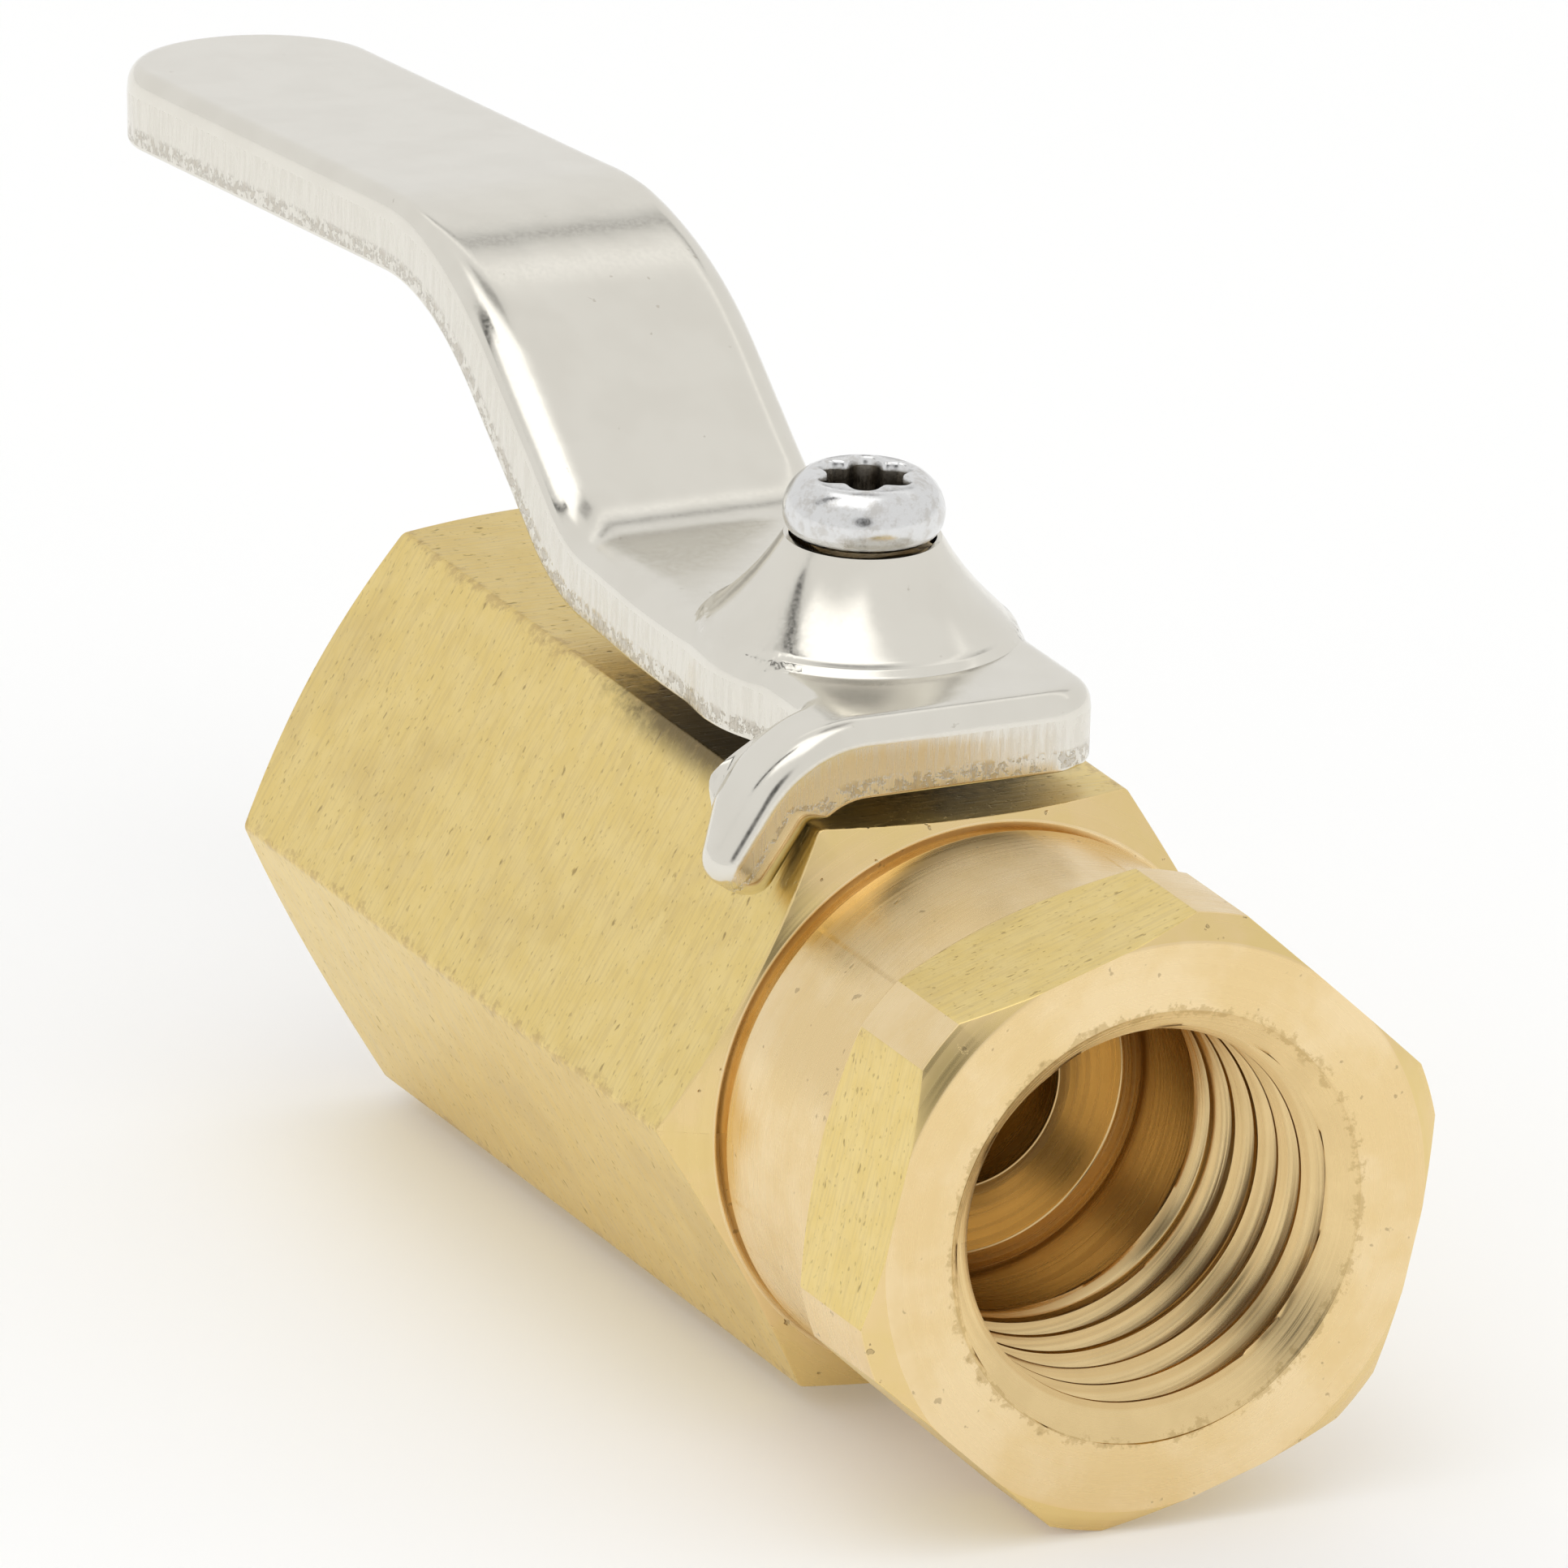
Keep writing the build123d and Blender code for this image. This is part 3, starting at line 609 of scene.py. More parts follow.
def plate_mesh(outline, hole):
    """Triangles of the flat plate: (points, faces, outline vertices, hole vertices)."""
    following, previous = np.roll(outline, -1, axis=0), np.roll(outline, 1, axis=0)
    along = following - previous
    inward = np.stack([-along[:, 1], along[:, 0]], axis=1) / np.hypot(*along.T)[:, None]
    if not inside_outline(outline[:1] + inward[:1] * 0.05, outline)[0]:
        inward = -inward
    extra = []
    for depth in EDGE_RINGS:
        ring = outline + inward * depth
        near = outline_distance(ring, outline)
        extra.append(ring[(near > depth * 0.97) & inside_outline(ring, outline)])
    centre = np.array([STEM_S, 0.0])
    profile_rings = {r for r, _ in BOSS_PROFILE if BOSS_HOLE_RADIUS < r < BOSS_FOOT_RADIUS}
    for radius in sorted(profile_rings | BOSS_EXTRA_RINGS):
        around = np.linspace(0, 2 * pi, int(2 * pi * radius / 0.15), endpoint=False)
        ring = centre + radius * np.stack([np.cos(around), np.sin(around)], axis=1)
        extra.append(ring[outline_distance(ring, outline) > 0.05])
    low, high = outline.min(0), outline.max(0)
    lines = [np.arange(low[axis], high[axis], GRID_STEP) for axis in (0, 1)]
    grid = np.stack(np.meshgrid(*lines), -1).reshape(-1, 2)
    grid = grid[inside_outline(grid, outline)]
    from_boss = np.hypot(*(grid - centre).T) - BOSS_FOOT_RADIUS
    grid = grid[(outline_distance(grid, outline) > GRID_MARGIN) & (from_boss > -0.05)]
    extra.append(grid)
    points = np.concatenate([outline, hole, *extra])
    edges = [(len(outline) + i, len(outline) + (i + 1) % len(hole)) for i in range(len(hole))]
    loop = list(range(len(outline)))
    made, _, faces, origins, _, _ = delaunay_2d_cdt([Vector(p) for p in points], edges, [loop], 1, 1e-5)
    made = np.array([tuple(p) for p in made])
    keep = ~inside_outline(np.array([made[list(face)].mean(0) for face in faces]), hole)
    faces = [tuple(face) for face, kept in zip(faces, keep) if kept]
    index = {source: new for new, sources in enumerate(origins) for source in sources}
    outer = [index[i] for i in range(len(outline))]
    inner = [index[len(outline) + i] for i in range(len(hole))]
    return made, faces, outer, inner


def wall_faces(upper, lower):
    """Quads between two closed rows of vertices."""
    count = len(upper)
    return [(upper[i], upper[(i + 1) % count], lower[(i + 1) % count], lower[i]) for i in range(count)]


def edge_fall(distance, radius):
    """How far a rounded edge has fallen at a distance in from the outline."""
    inside = np.clip(radius - distance, 0, radius)
    return radius - np.sqrt(radius**2 - inside**2)


def lever(materials):
    """The stamped lever: grip, two bends, hub with its boss, tongue and stop tab."""
    line = bent_line([(LEVER_FRONT, LEVER_TOP), BEND_1, BEND_2, LEVER_TIP], [BEND_1_RADIUS, BEND_2_RADIUS])
    outline = lever_outline(line[4])
    around = np.linspace(0, 2 * pi, 96, endpoint=False)
    hole = np.stack([STEM_S + BOSS_HOLE_RADIUS * np.cos(around), BOSS_HOLE_RADIUS * np.sin(around)], axis=1)
    flat, faces, outer, inner = plate_mesh(outline, hole)
    distance = outline_distance(flat, outline)
    distance[outer] = 0
    from_stem = np.hypot(flat[:, 0] - STEM_S, flat[:, 1])
    boss_radii, boss_heights = zip(*BOSS_PROFILE)
    across = np.interp(flat[:, 0], *TOP_ROUND)
    across += (TAB_ROUND - across) * smooth_step(-TONGUE_HALF_WIDTH, -TAB_SLANT_START, flat[:, 1])
    roll = TOP_DROP * edge_fall(distance / across, 1)
    top = np.interp(from_stem, boss_radii, boss_heights) - roll
    to_tip = np.clip((flat[:, 1] + TAB_REACH) / TAB_TIP_ROUND[0], 0, 1)
    under = BOTTOM_ROUND + (TAB_UNDER_ROUND - BOTTOM_ROUND) * smooth_step(*TAB_UNDER_BLEND, flat[:, 1])
    bottom = edge_fall(distance, under) - LEVER_THICKNESS
    bottom += np.maximum(0, TAB_TIP_ROUND[1] * edge_fall(to_tip, 1) - under)
    bottom = np.where(from_stem < POCKET_RADIUS, POCKET_TOP, bottom)
    count = len(flat)
    skins = [lever_place(flat[:, 0], flat[:, 1], height, line) for height in (top, bottom)]
    points, all_faces, zones = list(skins), list(faces), [0] * len(faces)  # zone 1 is the cut flank
    all_faces += [tuple(count + i for i in reversed(face)) for face in faces]
    zones += [0] * len(faces)
    above = outer
    used = 2 * count
    for share in (0.25, 0.5, 0.75, 1.0):
        if share < 1:
            height = top[outer] * (1 - share) + bottom[outer] * share
            points.append(lever_place(flat[outer, 0], flat[outer, 1], height, line))
            below = list(range(used, used + len(outer)))
            used += len(outer)
        else:
            below = [count + i for i in outer]
        walls = wall_faces(above, below)
        all_faces += walls
        zones += [1] * len(walls)
        above = below
    hole_walls = wall_faces(inner, [count + i for i in inner])
    all_faces += hole_walls
    zones += [0] * len(hole_walls)
    piece = make_object("stamped_lever", np.concatenate(points), all_faces, materials, zones)
    low_edge = np.zeros(used)
    low_edge[count:2 * count] = 1
    low_edge[used - len(outer):] = 0.6
    piece.data.attributes.new("low_edge", "FLOAT", "POINT").data.foreach_set("value", low_edge)
    clean(piece)
    return piece


# ---- lever screw: pan head with a six-lobe recess ----
HEAD_PROFILE = [  # radius and height above the head's underside, from the recess's rim outwards
    (1.70, 1.79), (1.86, 1.71), (2.02, 1.58), (2.18, 1.40), (2.30, 1.19), (2.38, 0.97), (2.42, 0.76),
    (2.41, 0.55), (2.37, 0.36), (2.30, 0.20), (2.21, 0.09), (2.12, 0.02), (2.05, 0.0),
]
RECESS_RADIUS = 1.56
RECESS_TURN = radians(33)
RECESS_DEPTH = 1.35
RECESS_PROFILE = [  # share of the recess's outline, depth below the rim
    (0.12, RECESS_DEPTH + 0.12), (0.45, RECESS_DEPTH + 0.03), (0.8, RECESS_DEPTH),
    (0.88, RECESS_DEPTH - 0.08), (0.93, 0.7), (0.97, 0.25), (1.0, 0.08), (1.03, 0.03), (1.08, 0.0),
]
RECESS_SHADE_ROWS = 5  # rows of faces, from its floor up, in the recess's painted shade material
RIM_RISE = 0.02  # of the recess's rim over the first row of the head's profile
SHANK_RADIUS = 1.2


def lobe_radius(angles, size):
    """Outline of the six-lobe recess."""
    turned = 6 * (angles - RECESS_TURN)
    return size * (0.86 + 0.12 * np.cos(turned) - 0.02 * np.cos(2 * turned))


def lever_screw(materials):
    """The screw: recess, domed head and plain shank, as rings round its axis."""
    base = HEAD_TOP - HEAD_PROFILE[0][1] - RIM_RISE
    angles = np.linspace(0, 2 * pi, 192, endpoint=False)
    rim = HEAD_TOP - base
    rings = [(lobe_radius(angles, RECESS_RADIUS) * share, rim - depth) for share, depth in RECESS_PROFILE]
    scale = HEAD_RADIUS / max(radius for radius, _ in HEAD_PROFILE)
    rings += [(radius * scale, height) for radius, height in HEAD_PROFILE]
    rings += [(SHANK_RADIUS, 0), (SHANK_RADIUS, screw_low.z - base)]
    points = []
    for r, z in rings:
        height = np.full_like(angles, base + z)
        points.append(np.stack([STEM_X + r * np.cos(angles), r * np.sin(angles), height], axis=1))
    count = len(angles)
    rows = [list(range(i * count, (i + 1) * count)) for i in range(len(rings))]
    faces = [face for above, below in zip(rows, rows[1:]) for face in wall_faces(above, below)]
    faces += [tuple(rows[0]), tuple(reversed(rows[-1]))]
    # zone 1, the recess's rows and floor, takes the steel with painted shade
    zones = [1 if index < RECESS_SHADE_ROWS * count else 0 for index in range(len(faces))]
    zones[-2] = 1  # the recess's floor
    piece = make_object("pan_head_screw", np.concatenate(points), faces, materials, zones)
    clean(piece)
    return piece


# ---- materials ----
class Nodes:
    """Builds a material's node tree. Places are measured in millimetres of the row frame."""

    def __init__(self, name):
        self.material = bpy.data.materials.new(name)
        self.material.use_nodes = True
        self.tree = self.material.node_tree
        self.shader = self.tree.nodes["Principled BSDF"]
        scaled = self.add("ShaderNodeVectorMath", operation="SCALE")
        self.put(scaled.inputs[0], self.add("ShaderNodeTexCoord").outputs["Object"])
        scaled.inputs["Scale"].default_value = 1 / MM
        self.place = scaled.outputs[0]

    def add(self, kind, **settings):
        node = self.tree.nodes.new(kind)
        for key, value in settings.items():
            setattr(node, key, value)
        return node

    def put(self, socket, value):
        if isinstance(value, bpy.types.NodeSocket):
            self.tree.links.new(value, socket)
        else:
            socket.default_value = value

    def math(self, operation, a, b=0.0, c=0.0):
        node = self.add("ShaderNodeMath", operation=operation)
        for socket, value in zip(node.inputs, (a, b, c)):
            self.put(socket, value)
        return node.outputs[0]

    def times(self, a, b):
        return self.math("MULTIPLY", a, b)

    def less(self, a, b):
        return self.math("SUBTRACT", a, b)

    def tinted(self, base, mask, strength, shade):
        """The base with so much of a shade laid over it where the mask is 1."""
        return self.mix(self.times(mask, strength), base, shade)

    def length(self, vector):
        node = self.add("ShaderNodeVectorMath", operation="LENGTH")
        self.put(node.inputs[0], vector)
        return node.outputs["Value"]

    def split(self, vector):
        node = self.add("ShaderNodeSeparateXYZ")
        self.put(node.inputs[0], vector)
        return node.outputs

    def join(self, x, y, z):
        node = self.add("ShaderNodeCombineXYZ")
        for socket, value in zip(node.inputs, (x, y, z)):
            self.put(socket, value)
        return node.outputs[0]

    def noise(self, vector, scale, detail=2.0, roughness=0.5, distortion=0.0):
        node = self.add("ShaderNodeTexNoise")
        self.put(node.inputs["Vector"], vector)
        node.inputs["Scale"].default_value = scale
        node.inputs["Detail"].default_value = detail
        node.inputs["Roughness"].default_value = roughness
        node.inputs["Distortion"].default_value = distortion
        return node.outputs["Fac"]

    def ramp(self, value, low, high, to_low=0.0, to_high=1.0):
        node = self.add("ShaderNodeMapRange", interpolation_type="SMOOTHSTEP")
        for socket, number in zip(node.inputs, (value, low, high, to_low, to_high)):
            self.put(socket, number)
        return node.outputs[0]

    def mix(self, share, a, b):
        node = self.add("ShaderNodeMix", data_type="RGBA")
        self.put(node.inputs[0], share)
        self.put(node.inputs[6], a)
        self.put(node.inputs[7], b)
        return node.outputs[2]

    def attribute(self, name):
        return self.add("ShaderNodeAttribute", attribute_name=name).outputs["Fac"]

    def bump(self, height, depth, normal=None):
        """A bump of that depth in millimetres at height 1."""
        node = self.add("ShaderNodeBump")
        node.inputs["Strength"].default_value = 1.0
        node.inputs["Distance"].default_value = depth * MM
        self.put(node.inputs["Height"], height)
        if normal is not None:
            self.put(node.inputs["Normal"], normal)
        return node.outputs[0]

    def finish(self, base, roughness, normal, metallic=1.0, edge_tint=None):
        self.put(self.shader.inputs["Base Color"], base)
        if edge_tint is not None:
            self.shader.inputs["Specular Tint"].default_value = edge_tint
        self.put(self.shader.inputs["Roughness"], roughness)
        self.shader.inputs["Metallic"].default_value = metallic
        self.put(self.shader.inputs["Normal"], normal)
        return self.material


def colour(red, green, blue):
    """An opaque colour, from linear red, green and blue."""
    return (red, green, blue, 1.0)


BRASS_FLAT = colour(0.83, 0.635, 0.235)
BRASS_FLAT_PALE = colour(0.88, 0.70, 0.31)
BRASS_STAIN = colour(0.55, 0.39, 0.17)
BRASS_PIT = colour(0.26, 0.19, 0.10)
# painted shade under the lever, on the body's top flat
BRASS_UNDER_LEVER_SHADE = colour(0.10, 0.07, 0.035)
BRASS_TURNED = colour(0.83, 0.625, 0.32)
BRASS_TURNED_PALE = colour(0.89, 0.70, 0.41)
BRASS_RINGED = colour(0.80, 0.61, 0.27)
# painted shade inside the bores and in the thread's roots
BRASS_BORE_SHADE = colour(0.50, 0.25, 0.045)
BRASS_EDGE = colour(0.93, 0.76, 0.48)
# painted shade, deeper, in the flow passage
BRASS_PASSAGE_SHADE = colour(0.32, 0.18, 0.05)
NICKEL = colour(0.785, 0.755, 0.68)
NICKEL_DULL = colour(0.68, 0.645, 0.57)
NICKEL_SPECK = colour(0.34, 0.28, 0.20)
STEEL = colour(0.76, 0.76, 0.755)
# painted shade in the screw's recess
STEEL_RECESS_SHADE = colour(0.30, 0.28, 0.25)
CHROME = colour(0.78, 0.78, 0.79)
HEX_SECTOR = pi / 3
BODY_MEAN_RADIUS = 9.2


def round_axis(nodes):
    """Place along the bore, angle round it in radians, and distance from it."""
    x, y, z = nodes.split(nodes.place)
    radius = nodes.length(nodes.join(0.0, y, z))
    return x, nodes.math("ARCTAN2", z, y), radius


def corner_distance(nodes, angle, first_corner):
    """Distance in millimetres, round the bar, to the nearest corner line."""
    turned = nodes.less(angle, radians(first_corner))
    return nodes.times(nodes.math("PINGPONG", turned, HEX_SECTOR / 2), BODY_MEAN_RADIUS)


def brushed_brass(name, first_corner, edge_wear, wear_start, wear_fall, stem_shade):
    """Drawn hexagon bar: brushed across the flats, pitted, mottled, and dirty along its corner lines. The
    last argument adds painted shade to the top flat round the stem, under the lever.
    """
    nodes = Nodes(name)
    x, angle, _ = round_axis(nodes)
    across = nodes.times(angle, BODY_MEAN_RADIUS)
    line_place = nodes.join(nodes.times(x, 8.0), nodes.times(across, 0.6), 0.0)
    lines = nodes.noise(line_place, 1.0, 3.0)
    pit_place = nodes.join(nodes.times(x, 3.4), nodes.times(across, 1.7), 5.0)
    pits = nodes.ramp(nodes.noise(pit_place, 1.0, 2.0), 0.66, 0.76)
    speck_place = nodes.join(nodes.times(x, 7.0), nodes.times(across, 4.0), 9.0)
    specks = nodes.ramp(nodes.noise(speck_place, 1.0, 1.0), 0.64, 0.76, 0.0, 0.6)
    marks = nodes.math("MAXIMUM", pits, specks)
    mottle = nodes.ramp(nodes.noise(nodes.place, 0.9, 4.0, 0.6), 0.34, 0.66, 0.15, 0.75)
    cloud = nodes.ramp(nodes.noise(nodes.place, 0.16, 3.0, 0.6, 0.5), 0.54, 0.70)
    base = nodes.mix(mottle, BRASS_FLAT, BRASS_FLAT_PALE)
    base = nodes.mix(nodes.ramp(lines, 0.55, 0.38, 0.0, 0.22), base, BRASS_STAIN)
    base = nodes.tinted(base, cloud, 0.22, BRASS_STAIN)
    base = nodes.tinted(base, marks, 0.55, BRASS_PIT)
    rag = nodes.noise(nodes.place, 1.7, 4.0, 0.7)
    from_corner = corner_distance(nodes, angle, first_corner)
    reach = nodes.times(nodes.ramp(rag, 0.42, 0.68), edge_wear)
    inward = nodes.math("MULTIPLY_ADD", nodes.less(x, wear_start), wear_fall, from_corner)
    dirt = nodes.ramp(nodes.less(reach, inward), -0.1, 0.25)
    base = nodes.tinted(base, dirt, 0.6, BRASS_STAIN)
    # painted shade: the top flat darkens round the stem, where the lever shades it
    if stem_shade:
        _, y, z = nodes.split(nodes.place)
        gap = nodes.length(nodes.join(nodes.less(x, STEM_X - 0.6), y, 0.0))
        near = nodes.math("ADD", gap, nodes.times(rag, 5.0))
        under_lever_shade = nodes.times(nodes.ramp(near, 10.6, 7.6), nodes.ramp(z, 7.7, 8.6))
        base = nodes.tinted(base, under_lever_shade, 0.85, BRASS_UNDER_LEVER_SHADE)
    brushed = nodes.ramp(lines, 0.35, 0.65, 0.30, 0.40)
    roughness = nodes.math("ADD", brushed, nodes.times(marks, 0.25))
    height = nodes.math("MULTIPLY_ADD", marks, -1.5, lines)
    return nodes.finish(base, roughness, nodes.bump(height, 0.010))


def port_depth(nodes, x):
    """Depth below the nearer end face of the valve."""
    return nodes.math("MINIMUM", x, nodes.less(OVERALL_LENGTH, x))


def rim_dirt(nodes, x, radius):
    """A ragged brown band where the threads run out at each end face."""
    from_rim = nodes.math("ABSOLUTE", nodes.less(radius, THREAD_MOUTH_RADIUS))
    ragged = nodes.ramp(nodes.noise(nodes.place, 2.4, 4.0, 0.7), 0.42, 0.66, 0.0, 0.3)
    near = nodes.less(ragged, nodes.math("MAXIMUM", from_rim, port_depth(nodes, x)))
    return nodes.times(nodes.ramp(near, -0.08, 0.12), 0.6)


def turned_brass(name, rings_each_mm, ring_depth, shade, shade_pale):
    """Lathe-turned brass with feed rings, soft clouding and a few specks."""
    nodes = Nodes(name)
    x, angle, radius = round_axis(nodes)
    feed = nodes.times(nodes.math("ADD", x, radius), rings_each_mm)
    rings = nodes.noise(nodes.join(feed, nodes.times(angle, 0.6), 0.0), 1.0, 1.0)
    mottle = nodes.ramp(nodes.noise(nodes.place, 0.3, 4.0, 0.6), 0.36, 0.64)
    speck = nodes.ramp(nodes.noise(nodes.place, 2.4, 2.0), 0.70, 0.74)
    base = nodes.mix(mottle, shade, shade_pale)
    base = nodes.tinted(base, speck, 0.45, BRASS_PIT)
    base = nodes.mix(rim_dirt(nodes, x, radius), base, BRASS_STAIN)
    roughness = nodes.ramp(rings, 0.3, 0.7, 0.24, 0.33)
    height = nodes.math("MULTIPLY_ADD", speck, -1.5, rings)
    return nodes.finish(base, roughness, nodes.bump(height, ring_depth))


def bore_brass(name):
    """Drilled and tapped brass with painted shade: darker inside the bore and in the thread's roots, brown in
    the flow passage.
    """
    nodes = Nodes(name)
    x, angle, radius = round_axis(nodes)
    feed = nodes.times(nodes.math("ADD", x, radius), 6.0)
    rings = nodes.noise(nodes.join(feed, nodes.times(angle, 0.5), 0.0), 1.0, 2.0)
    mottle = nodes.ramp(nodes.noise(nodes.place, 0.8, 3.0), 0.36, 0.64)
    open_end = nodes.ramp(radius, TAP_DRILL_RADIUS - 0.02, TAP_DRILL_RADIUS + 0.3)
    ring_face = nodes.times(nodes.ramp(radius, FLOW_RADIUS, FLOW_RADIUS + 0.05), 0.8)
    # painted shade: the darker bore colour, with turned brass kept at the wider radii of the open end and on
    # the floor's ring face
    base = nodes.mix(nodes.math("MAXIMUM", open_end, ring_face), BRASS_BORE_SHADE, BRASS_TURNED)
    depth = port_depth(nodes, x)
    root = nodes.math("MULTIPLY_ADD", depth, -TAPER, THREAD_ROOT_RADIUS)
    # painted shade in the thread's roots, past the mouth
    groove = nodes.ramp(nodes.less(root, radius), 0.36, 0.12, 0.0, 0.8)
    groove = nodes.times(groove, nodes.ramp(depth, 0.5, 0.9))
    base = nodes.mix(groove, base, BRASS_BORE_SHADE)
    # painted shade in the flow passage
    passage = nodes.ramp(radius, FLOW_RADIUS + 0.03, FLOW_RADIUS - 0.02)
    base = nodes.mix(passage, base, BRASS_PASSAGE_SHADE)
    base = nodes.tinted(base, mottle, 0.15, BRASS_STAIN)
    base = nodes.mix(rim_dirt(nodes, x, radius), base, BRASS_STAIN)
    roughness = nodes.ramp(rings, 0.3, 0.7, 0.2, 0.32)
    return nodes.finish(base, roughness, nodes.bump(rings, 0.006), edge_tint=BRASS_EDGE)


def nickel(name):
    """Satin nickel plating over a stamped surface, slightly uneven."""
    nodes = Nodes(name)
    wave = nodes.noise(nodes.place, 0.5, 2.0)
    grain = nodes.noise(nodes.place, 7.0, 3.0, 0.65)
    speck = nodes.ramp(nodes.noise(nodes.place, 3.0, 2.0), 0.73, 0.80)
    base = nodes.mix(nodes.ramp(wave, 0.35, 0.68, 0.0, 0.25), NICKEL, NICKEL_DULL)
    base = nodes.tinted(base, speck, 0.3, NICKEL_SPECK)
    roughness = nodes.ramp(grain, 0.3, 0.7, 0.13, 0.20)
    small = nodes.bump(grain, 0.0006)
    return nodes.finish(base, roughness, nodes.bump(wave, 0.016, small))


def sheared_nickel(name):
    """The plate's cut flank: shear lines through the thickness, torn and brown near the lower edge."""
    nodes = Nodes(name)
    x, y, z = nodes.split(nodes.place)
    along = nodes.times(nodes.math("ADD", x, y), 5.0)
    lines = nodes.noise(nodes.join(along, nodes.times(z, 0.5), 0.0), 1.0, 3.0, 0.7)
    rough = nodes.noise(nodes.place, 3.0, 4.0, 0.7)
    near_edge = nodes.ramp(nodes.attribute("low_edge"), 0.2, 0.6)
    torn = nodes.times(nodes.ramp(rough, 0.49, 0.54), near_edge)
    base = nodes.mix(nodes.ramp(lines, 0.35, 0.65, 0.0, 0.4), NICKEL, NICKEL_DULL)
    base = nodes.tinted(base, torn, 0.38, NICKEL_SPECK)
    roughness = nodes.ramp(lines, 0.35, 0.65, 0.2, 0.32)
    height = nodes.math("MULTIPLY_ADD", torn, -3.0, lines)
    return nodes.finish(base, roughness, nodes.bump(height, 0.007))


def screw_steel(name, shade):
    """Zinc-plated screw steel, mottled and worn."""
    nodes = Nodes(name)
    grain = nodes.noise(nodes.place, 4.0, 3.0, 0.7)
    wear = nodes.ramp(nodes.noise(nodes.place, 2.2, 4.0, 0.7), 0.46, 0.66)
    base = nodes.tinted(shade, wear, 0.28, NICKEL_SPECK)
    roughness = nodes.ramp(grain, 0.35, 0.65, 0.13, 0.26)
    return nodes.finish(base, roughness, nodes.bump(grain, 0.004))


def chrome(name):
    """Polished chrome plating of the ball."""
    nodes = Nodes(name)
    grain = nodes.noise(nodes.place, 6.0, 2.0)
    return nodes.finish(CHROME, nodes.ramp(grain, 0.3, 0.7, 0.08, 0.14), nodes.bump(grain, 0.0005))


def ptfe(name):
    """White PTFE of the seats and washers."""
    nodes = Nodes(name)
    grain = nodes.noise(nodes.place, 3.0, 3.0)
    base = nodes.mix(grain, colour(0.86, 0.86, 0.84), colour(0.78, 0.78, 0.75))
    return nodes.finish(base, nodes.ramp(grain, 0.3, 0.7, 0.42, 0.55), nodes.bump(grain, 0.004), 0.0)


def rubber(name):
    """Black rubber of the O-rings."""
    nodes = Nodes(name)
    grain = nodes.noise(nodes.place, 8.0, 3.0)
    base = nodes.mix(grain, colour(0.018, 0.018, 0.02), colour(0.035, 0.035, 0.036))
    return nodes.finish(base, nodes.ramp(grain, 0.3, 0.7, 0.45, 0.62), nodes.bump(grain, 0.006), 0.0)


# ---- the valve's pieces ----
# the last True lays painted shade under the lever on the body's top flat
body_flat = brushed_brass("body_brushed_brass", 0, 0.42, 0, 0, True)
wrench_flat = brushed_brass("wrench_brushed_brass", WRENCH_TURN, 2.6, WRENCH_START, 0.9, False)
brass_turned = turned_brass("turned_brass", 7.0, 0.003, BRASS_TURNED, BRASS_TURNED_PALE)
brass_ringed = turned_brass("ringed_brass", 9.0, 0.030, BRASS_RINGED, BRASS_TURNED)
brass_bore = bore_brass("bore_brass")
nickel_skin = nickel("satin_nickel")
nickel_flank = sheared_nickel("sheared_nickel")
steel = screw_steel("screw_steel", STEEL)
# steel with painted shade, for the screw's recess
recess_shade_steel = screw_steel("recess_shade_steel", STEEL_RECESS_SHADE)
ball_chrome = chrome("ball_chrome")
seat_ptfe = ptfe("seat_ptfe")
seal_rubber = rubber("seal_rubber")

body_piece = valve_body([body_flat, brass_turned, brass_bore, brass_ringed])
connector_piece = end_connector([wrench_flat, brass_turned, brass_bore, brass_ringed])
lever_piece = lever([nickel_skin, nickel_flank])
screw_piece = lever_screw([steel, recess_shade_steel])
for piece, body, node, slot in (
    (body_piece, "housing", "valve_body", "brass_body"),
    (connector_piece, "housing", "end_connector", "brass_connector"),
    (lever_piece, "handle", "lever", "nickel_lever"),
    (screw_piece, "handle", "lever_screw", "screw_steel"),
):
    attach(piece, body)
    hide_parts(node)
for piece in (body_piece, connector_piece):
    weighted(piece)

for node, material in (
    ("ball", ball_chrome),
    ("stem", brass_turned),
    ("seat_ring_rear", seat_ptfe),
    ("seat_ring_front", seat_ptfe),
    ("body_seal", seat_ptfe),
    ("thrust_washer", seat_ptfe),
    ("stem_o_ring_lower", seal_rubber),
    ("stem_o_ring_upper", seal_rubber),
):
    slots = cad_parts[node].data.materials
    slots.clear()
    slots.append(material)


# ---- floor, light and camera ----
FLOOR_HALF = 3.0


def pale_floor(name, shade, roughness):
    """A plain floor that the valve lies on. It belongs to the setting and not to the valve."""
    paint = bpy.data.materials.new(name)
    paint.use_nodes = True
    shader = paint.node_tree.nodes["Principled BSDF"]
    shader.inputs["Base Color"].default_value = shade
    shader.inputs["Roughness"].default_value = roughness
    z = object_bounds()[0].z
    mesh = bpy.data.meshes.new("floor")
    corners = [(a * FLOOR_HALF, b * FLOOR_HALF, z) for a, b in ((-1, -1), (1, -1), (1, 1), (-1, 1))]
    mesh.from_pydata(corners, [], [(0, 1, 2, 3)])
    mesh.materials.append(paint)
    placed("floor", mesh)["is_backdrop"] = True


pale_floor("pale_floor", colour(0.92, 0.92, 0.915), 0.6)


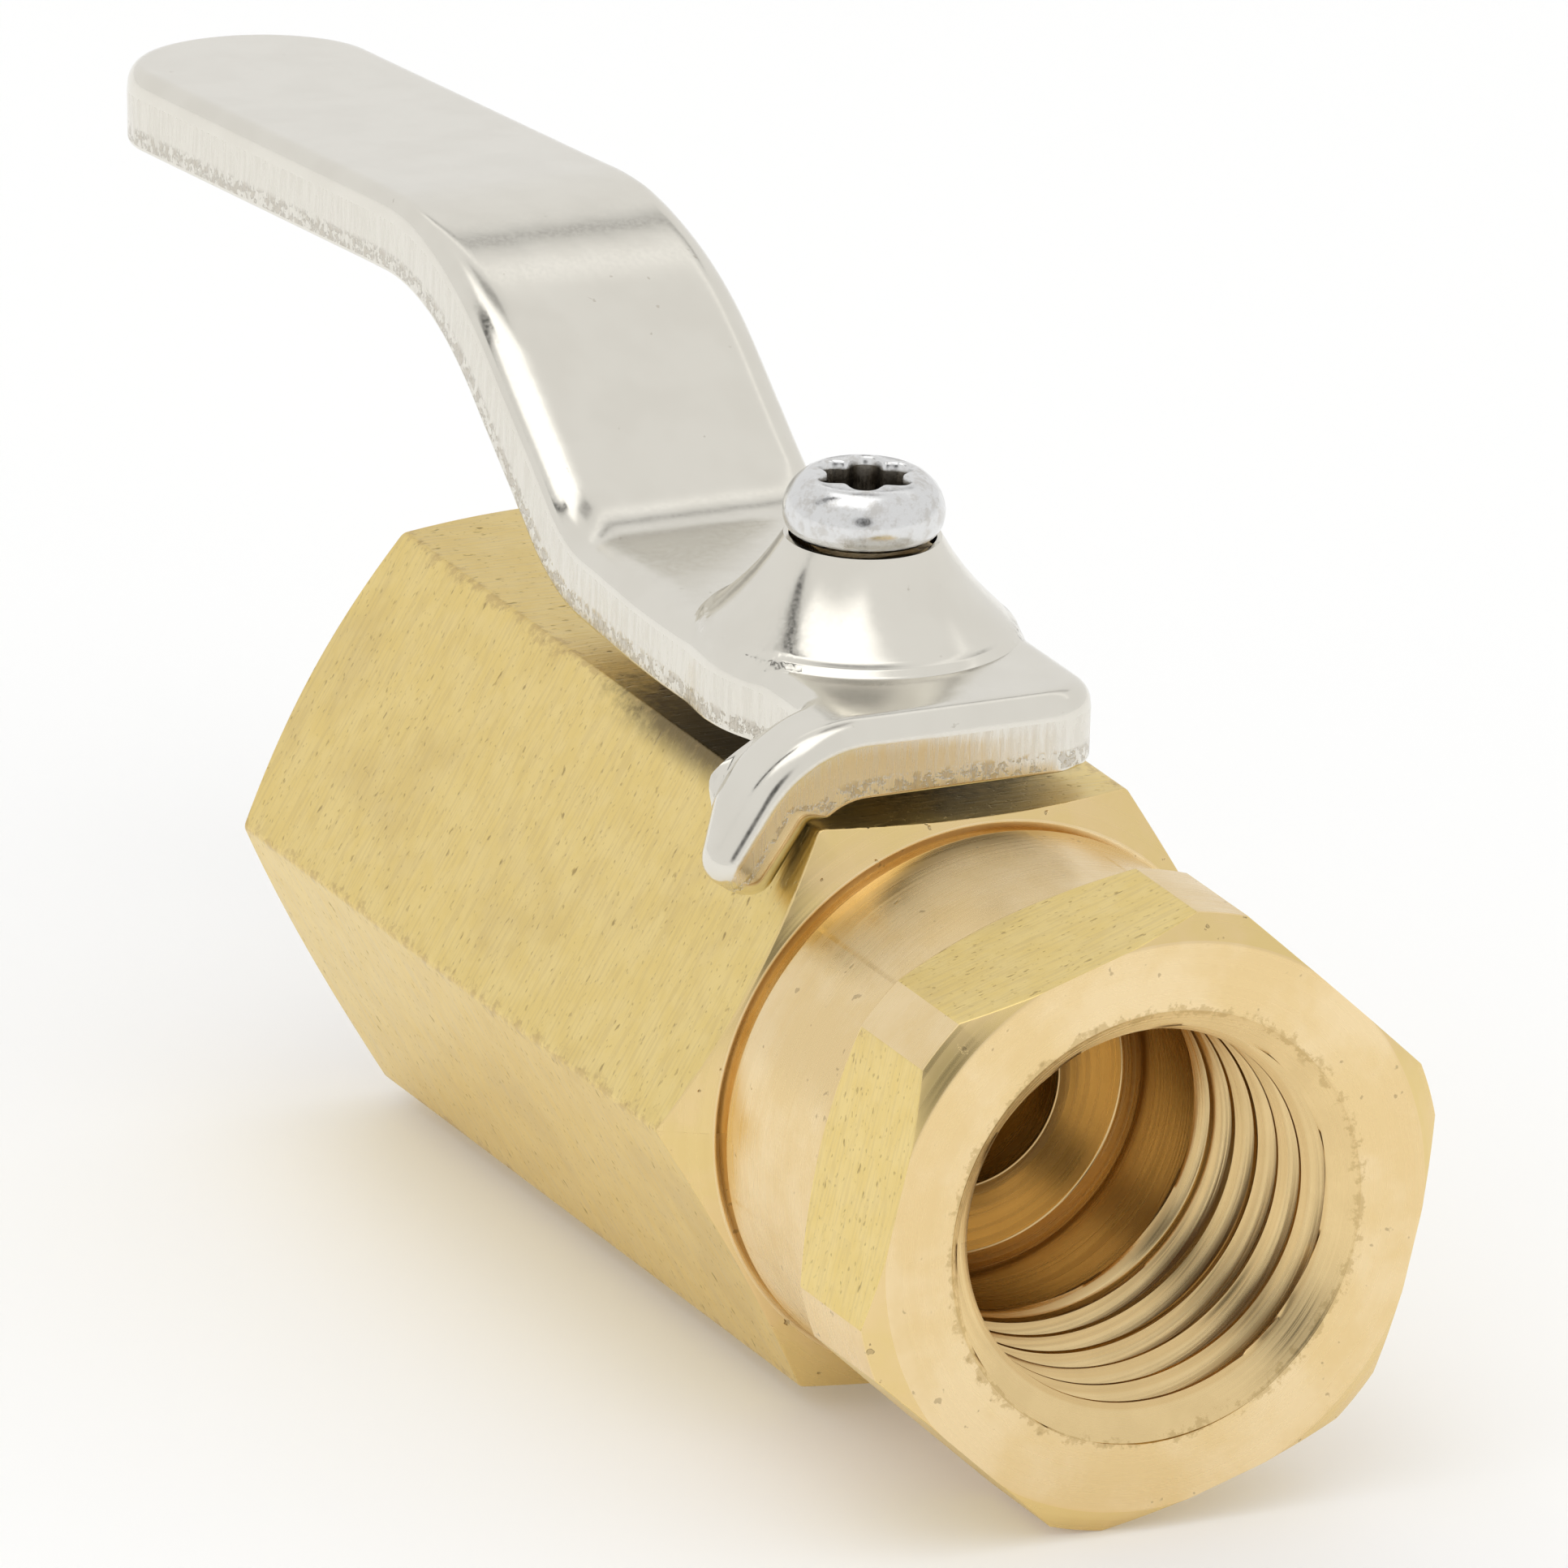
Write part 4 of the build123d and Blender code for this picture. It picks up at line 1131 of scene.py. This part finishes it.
class Sky(Nodes):
    """The light tent round the valve, as a pattern of brighter and darker panels."""

    def __init__(self, name, level):
        # a world has a tree of its own, so none of a material's set-up is run
        self.world = bpy.data.worlds.new(name)
        self.world.use_nodes = True
        self.tree = self.world.node_tree
        self.way = self.add("ShaderNodeTexCoord").outputs["Generated"]
        self.level = level

    def panel(self, towards, width, height, soft, level, roll=0.0):
        """Blends in a panel seen in that direction. Its half width and height are sines of angles."""
        towards = Vector(towards).normalized()
        side = towards.cross(Vector((0, 0, 1))).normalized()
        side = Matrix.Rotation(radians(roll), 3, towards) @ side
        rise = side.cross(towards)
        share = self.ramp(self.dot(towards), 0.1, 0.3)
        for axis, half in ((side, width), (rise, height)):
            away = self.math("ABSOLUTE", self.dot(axis))
            share = self.times(share, self.ramp(away, half + soft, half - soft))
        self.blend(share, level)

    def spot(self, towards, inner, outer, level):
        """Blends in a round patch between two angles from its middle."""
        share = self.ramp(self.dot(Vector(towards).normalized()), cos(radians(outer)), cos(radians(inner)))
        self.blend(share, level)

    def blend(self, share, level):
        change = self.less(level, self.level)
        self.level = self.math("MULTIPLY_ADD", change, share, self.level)

    def dot(self, axis):
        node = self.add("ShaderNodeVectorMath", operation="DOT_PRODUCT")
        self.put(node.inputs[0], self.way)
        self.put(node.inputs[1], tuple(axis))
        return node.outputs["Value"]

    def done(self):
        background = self.tree.nodes["Background"]
        background.inputs["Color"].default_value = colour(1.0, 1.0, 1.0)
        self.put(background.inputs["Strength"], self.level)
        bpy.context.scene.world = self.world


sky = Sky("light_tent", 0.87)
sky.panel((-0.60, 0.43, 0.68), 0.30, 0.045, 0.035, 0.45)  # seam behind the valve
sky.panel((-0.40, 0.43, 0.81), 0.60, 0.05, 0.05, 1.1)  # bright strip above it
sky.panel((-0.25, 0.13, 0.96), 0.16, 0.12, 0.07, 0.45)  # gap overhead
sky.panel((0.08, -0.27, 0.96), 0.38, 0.32, 0.08, 1.55, 25)  # softbox over the near side
sky.panel((-0.25, -0.60, 0.765), 0.06, 0.30, 0.02, 0.04)  # its far edge
sky.spot((0.839, -0.428, 0.337), 5, 15, 0.08)  # dark opening of the tent, fixed in the world
sky.done()

CENTRE = Vector((0.0193, -0.0013, 0.0064))
VIEW_AZIMUTH = 62.988
VIEW_ELEVATION = 19.681
VIEW_ROLL = 2.006
VIEW_DISTANCE = 0.8994
LENS = 697.46
SENSOR = 36.0


def direction(azimuth, elevation):
    """Unit vector towards a place seen at that azimuth and elevation."""
    a, e = radians(azimuth), radians(elevation)
    return Vector((sin(a) * cos(e), -cos(a) * cos(e), sin(e)))


def softbox(name, azimuth, elevation, distance, width, height, power):
    """A rectangular light that faces the valve."""
    data = bpy.data.lights.new(name, "AREA")
    data.shape = "RECTANGLE"
    data.size, data.size_y = width, height
    data.energy = power
    light = placed(name, data)
    away = direction(azimuth, elevation)
    light.location = CENTRE + away * distance
    light.rotation_mode = "QUATERNION"
    light.rotation_quaternion = (-away).to_track_quat("-Z", "Y")
    light.visible_camera = False
    return light


fill = softbox("floor_fill", 60, 75, 1.5, 1.5, 1.5, 5.5)
fill.data.use_shadow = False
fill.visible_glossy = False

camera_data = bpy.data.cameras.new("camera")
camera = placed("camera", camera_data)
camera_data.sensor_width = SENSOR
camera_data.lens = LENS
camera_data.clip_start = 0.05
camera_data.clip_end = 20.0
back = direction(VIEW_AZIMUTH, VIEW_ELEVATION)
camera.rotation_mode = "QUATERNION"
level = (-back).to_track_quat("-Z", "Y")
camera.location = CENTRE + back * VIEW_DISTANCE
roll = Matrix.Rotation(radians(VIEW_ROLL), 4, back)
camera.rotation_quaternion = (roll @ level.to_matrix().to_4x4()).to_quaternion()
bpy.context.scene.camera = camera
bpy.context.scene.view_settings.view_transform = "Standard"
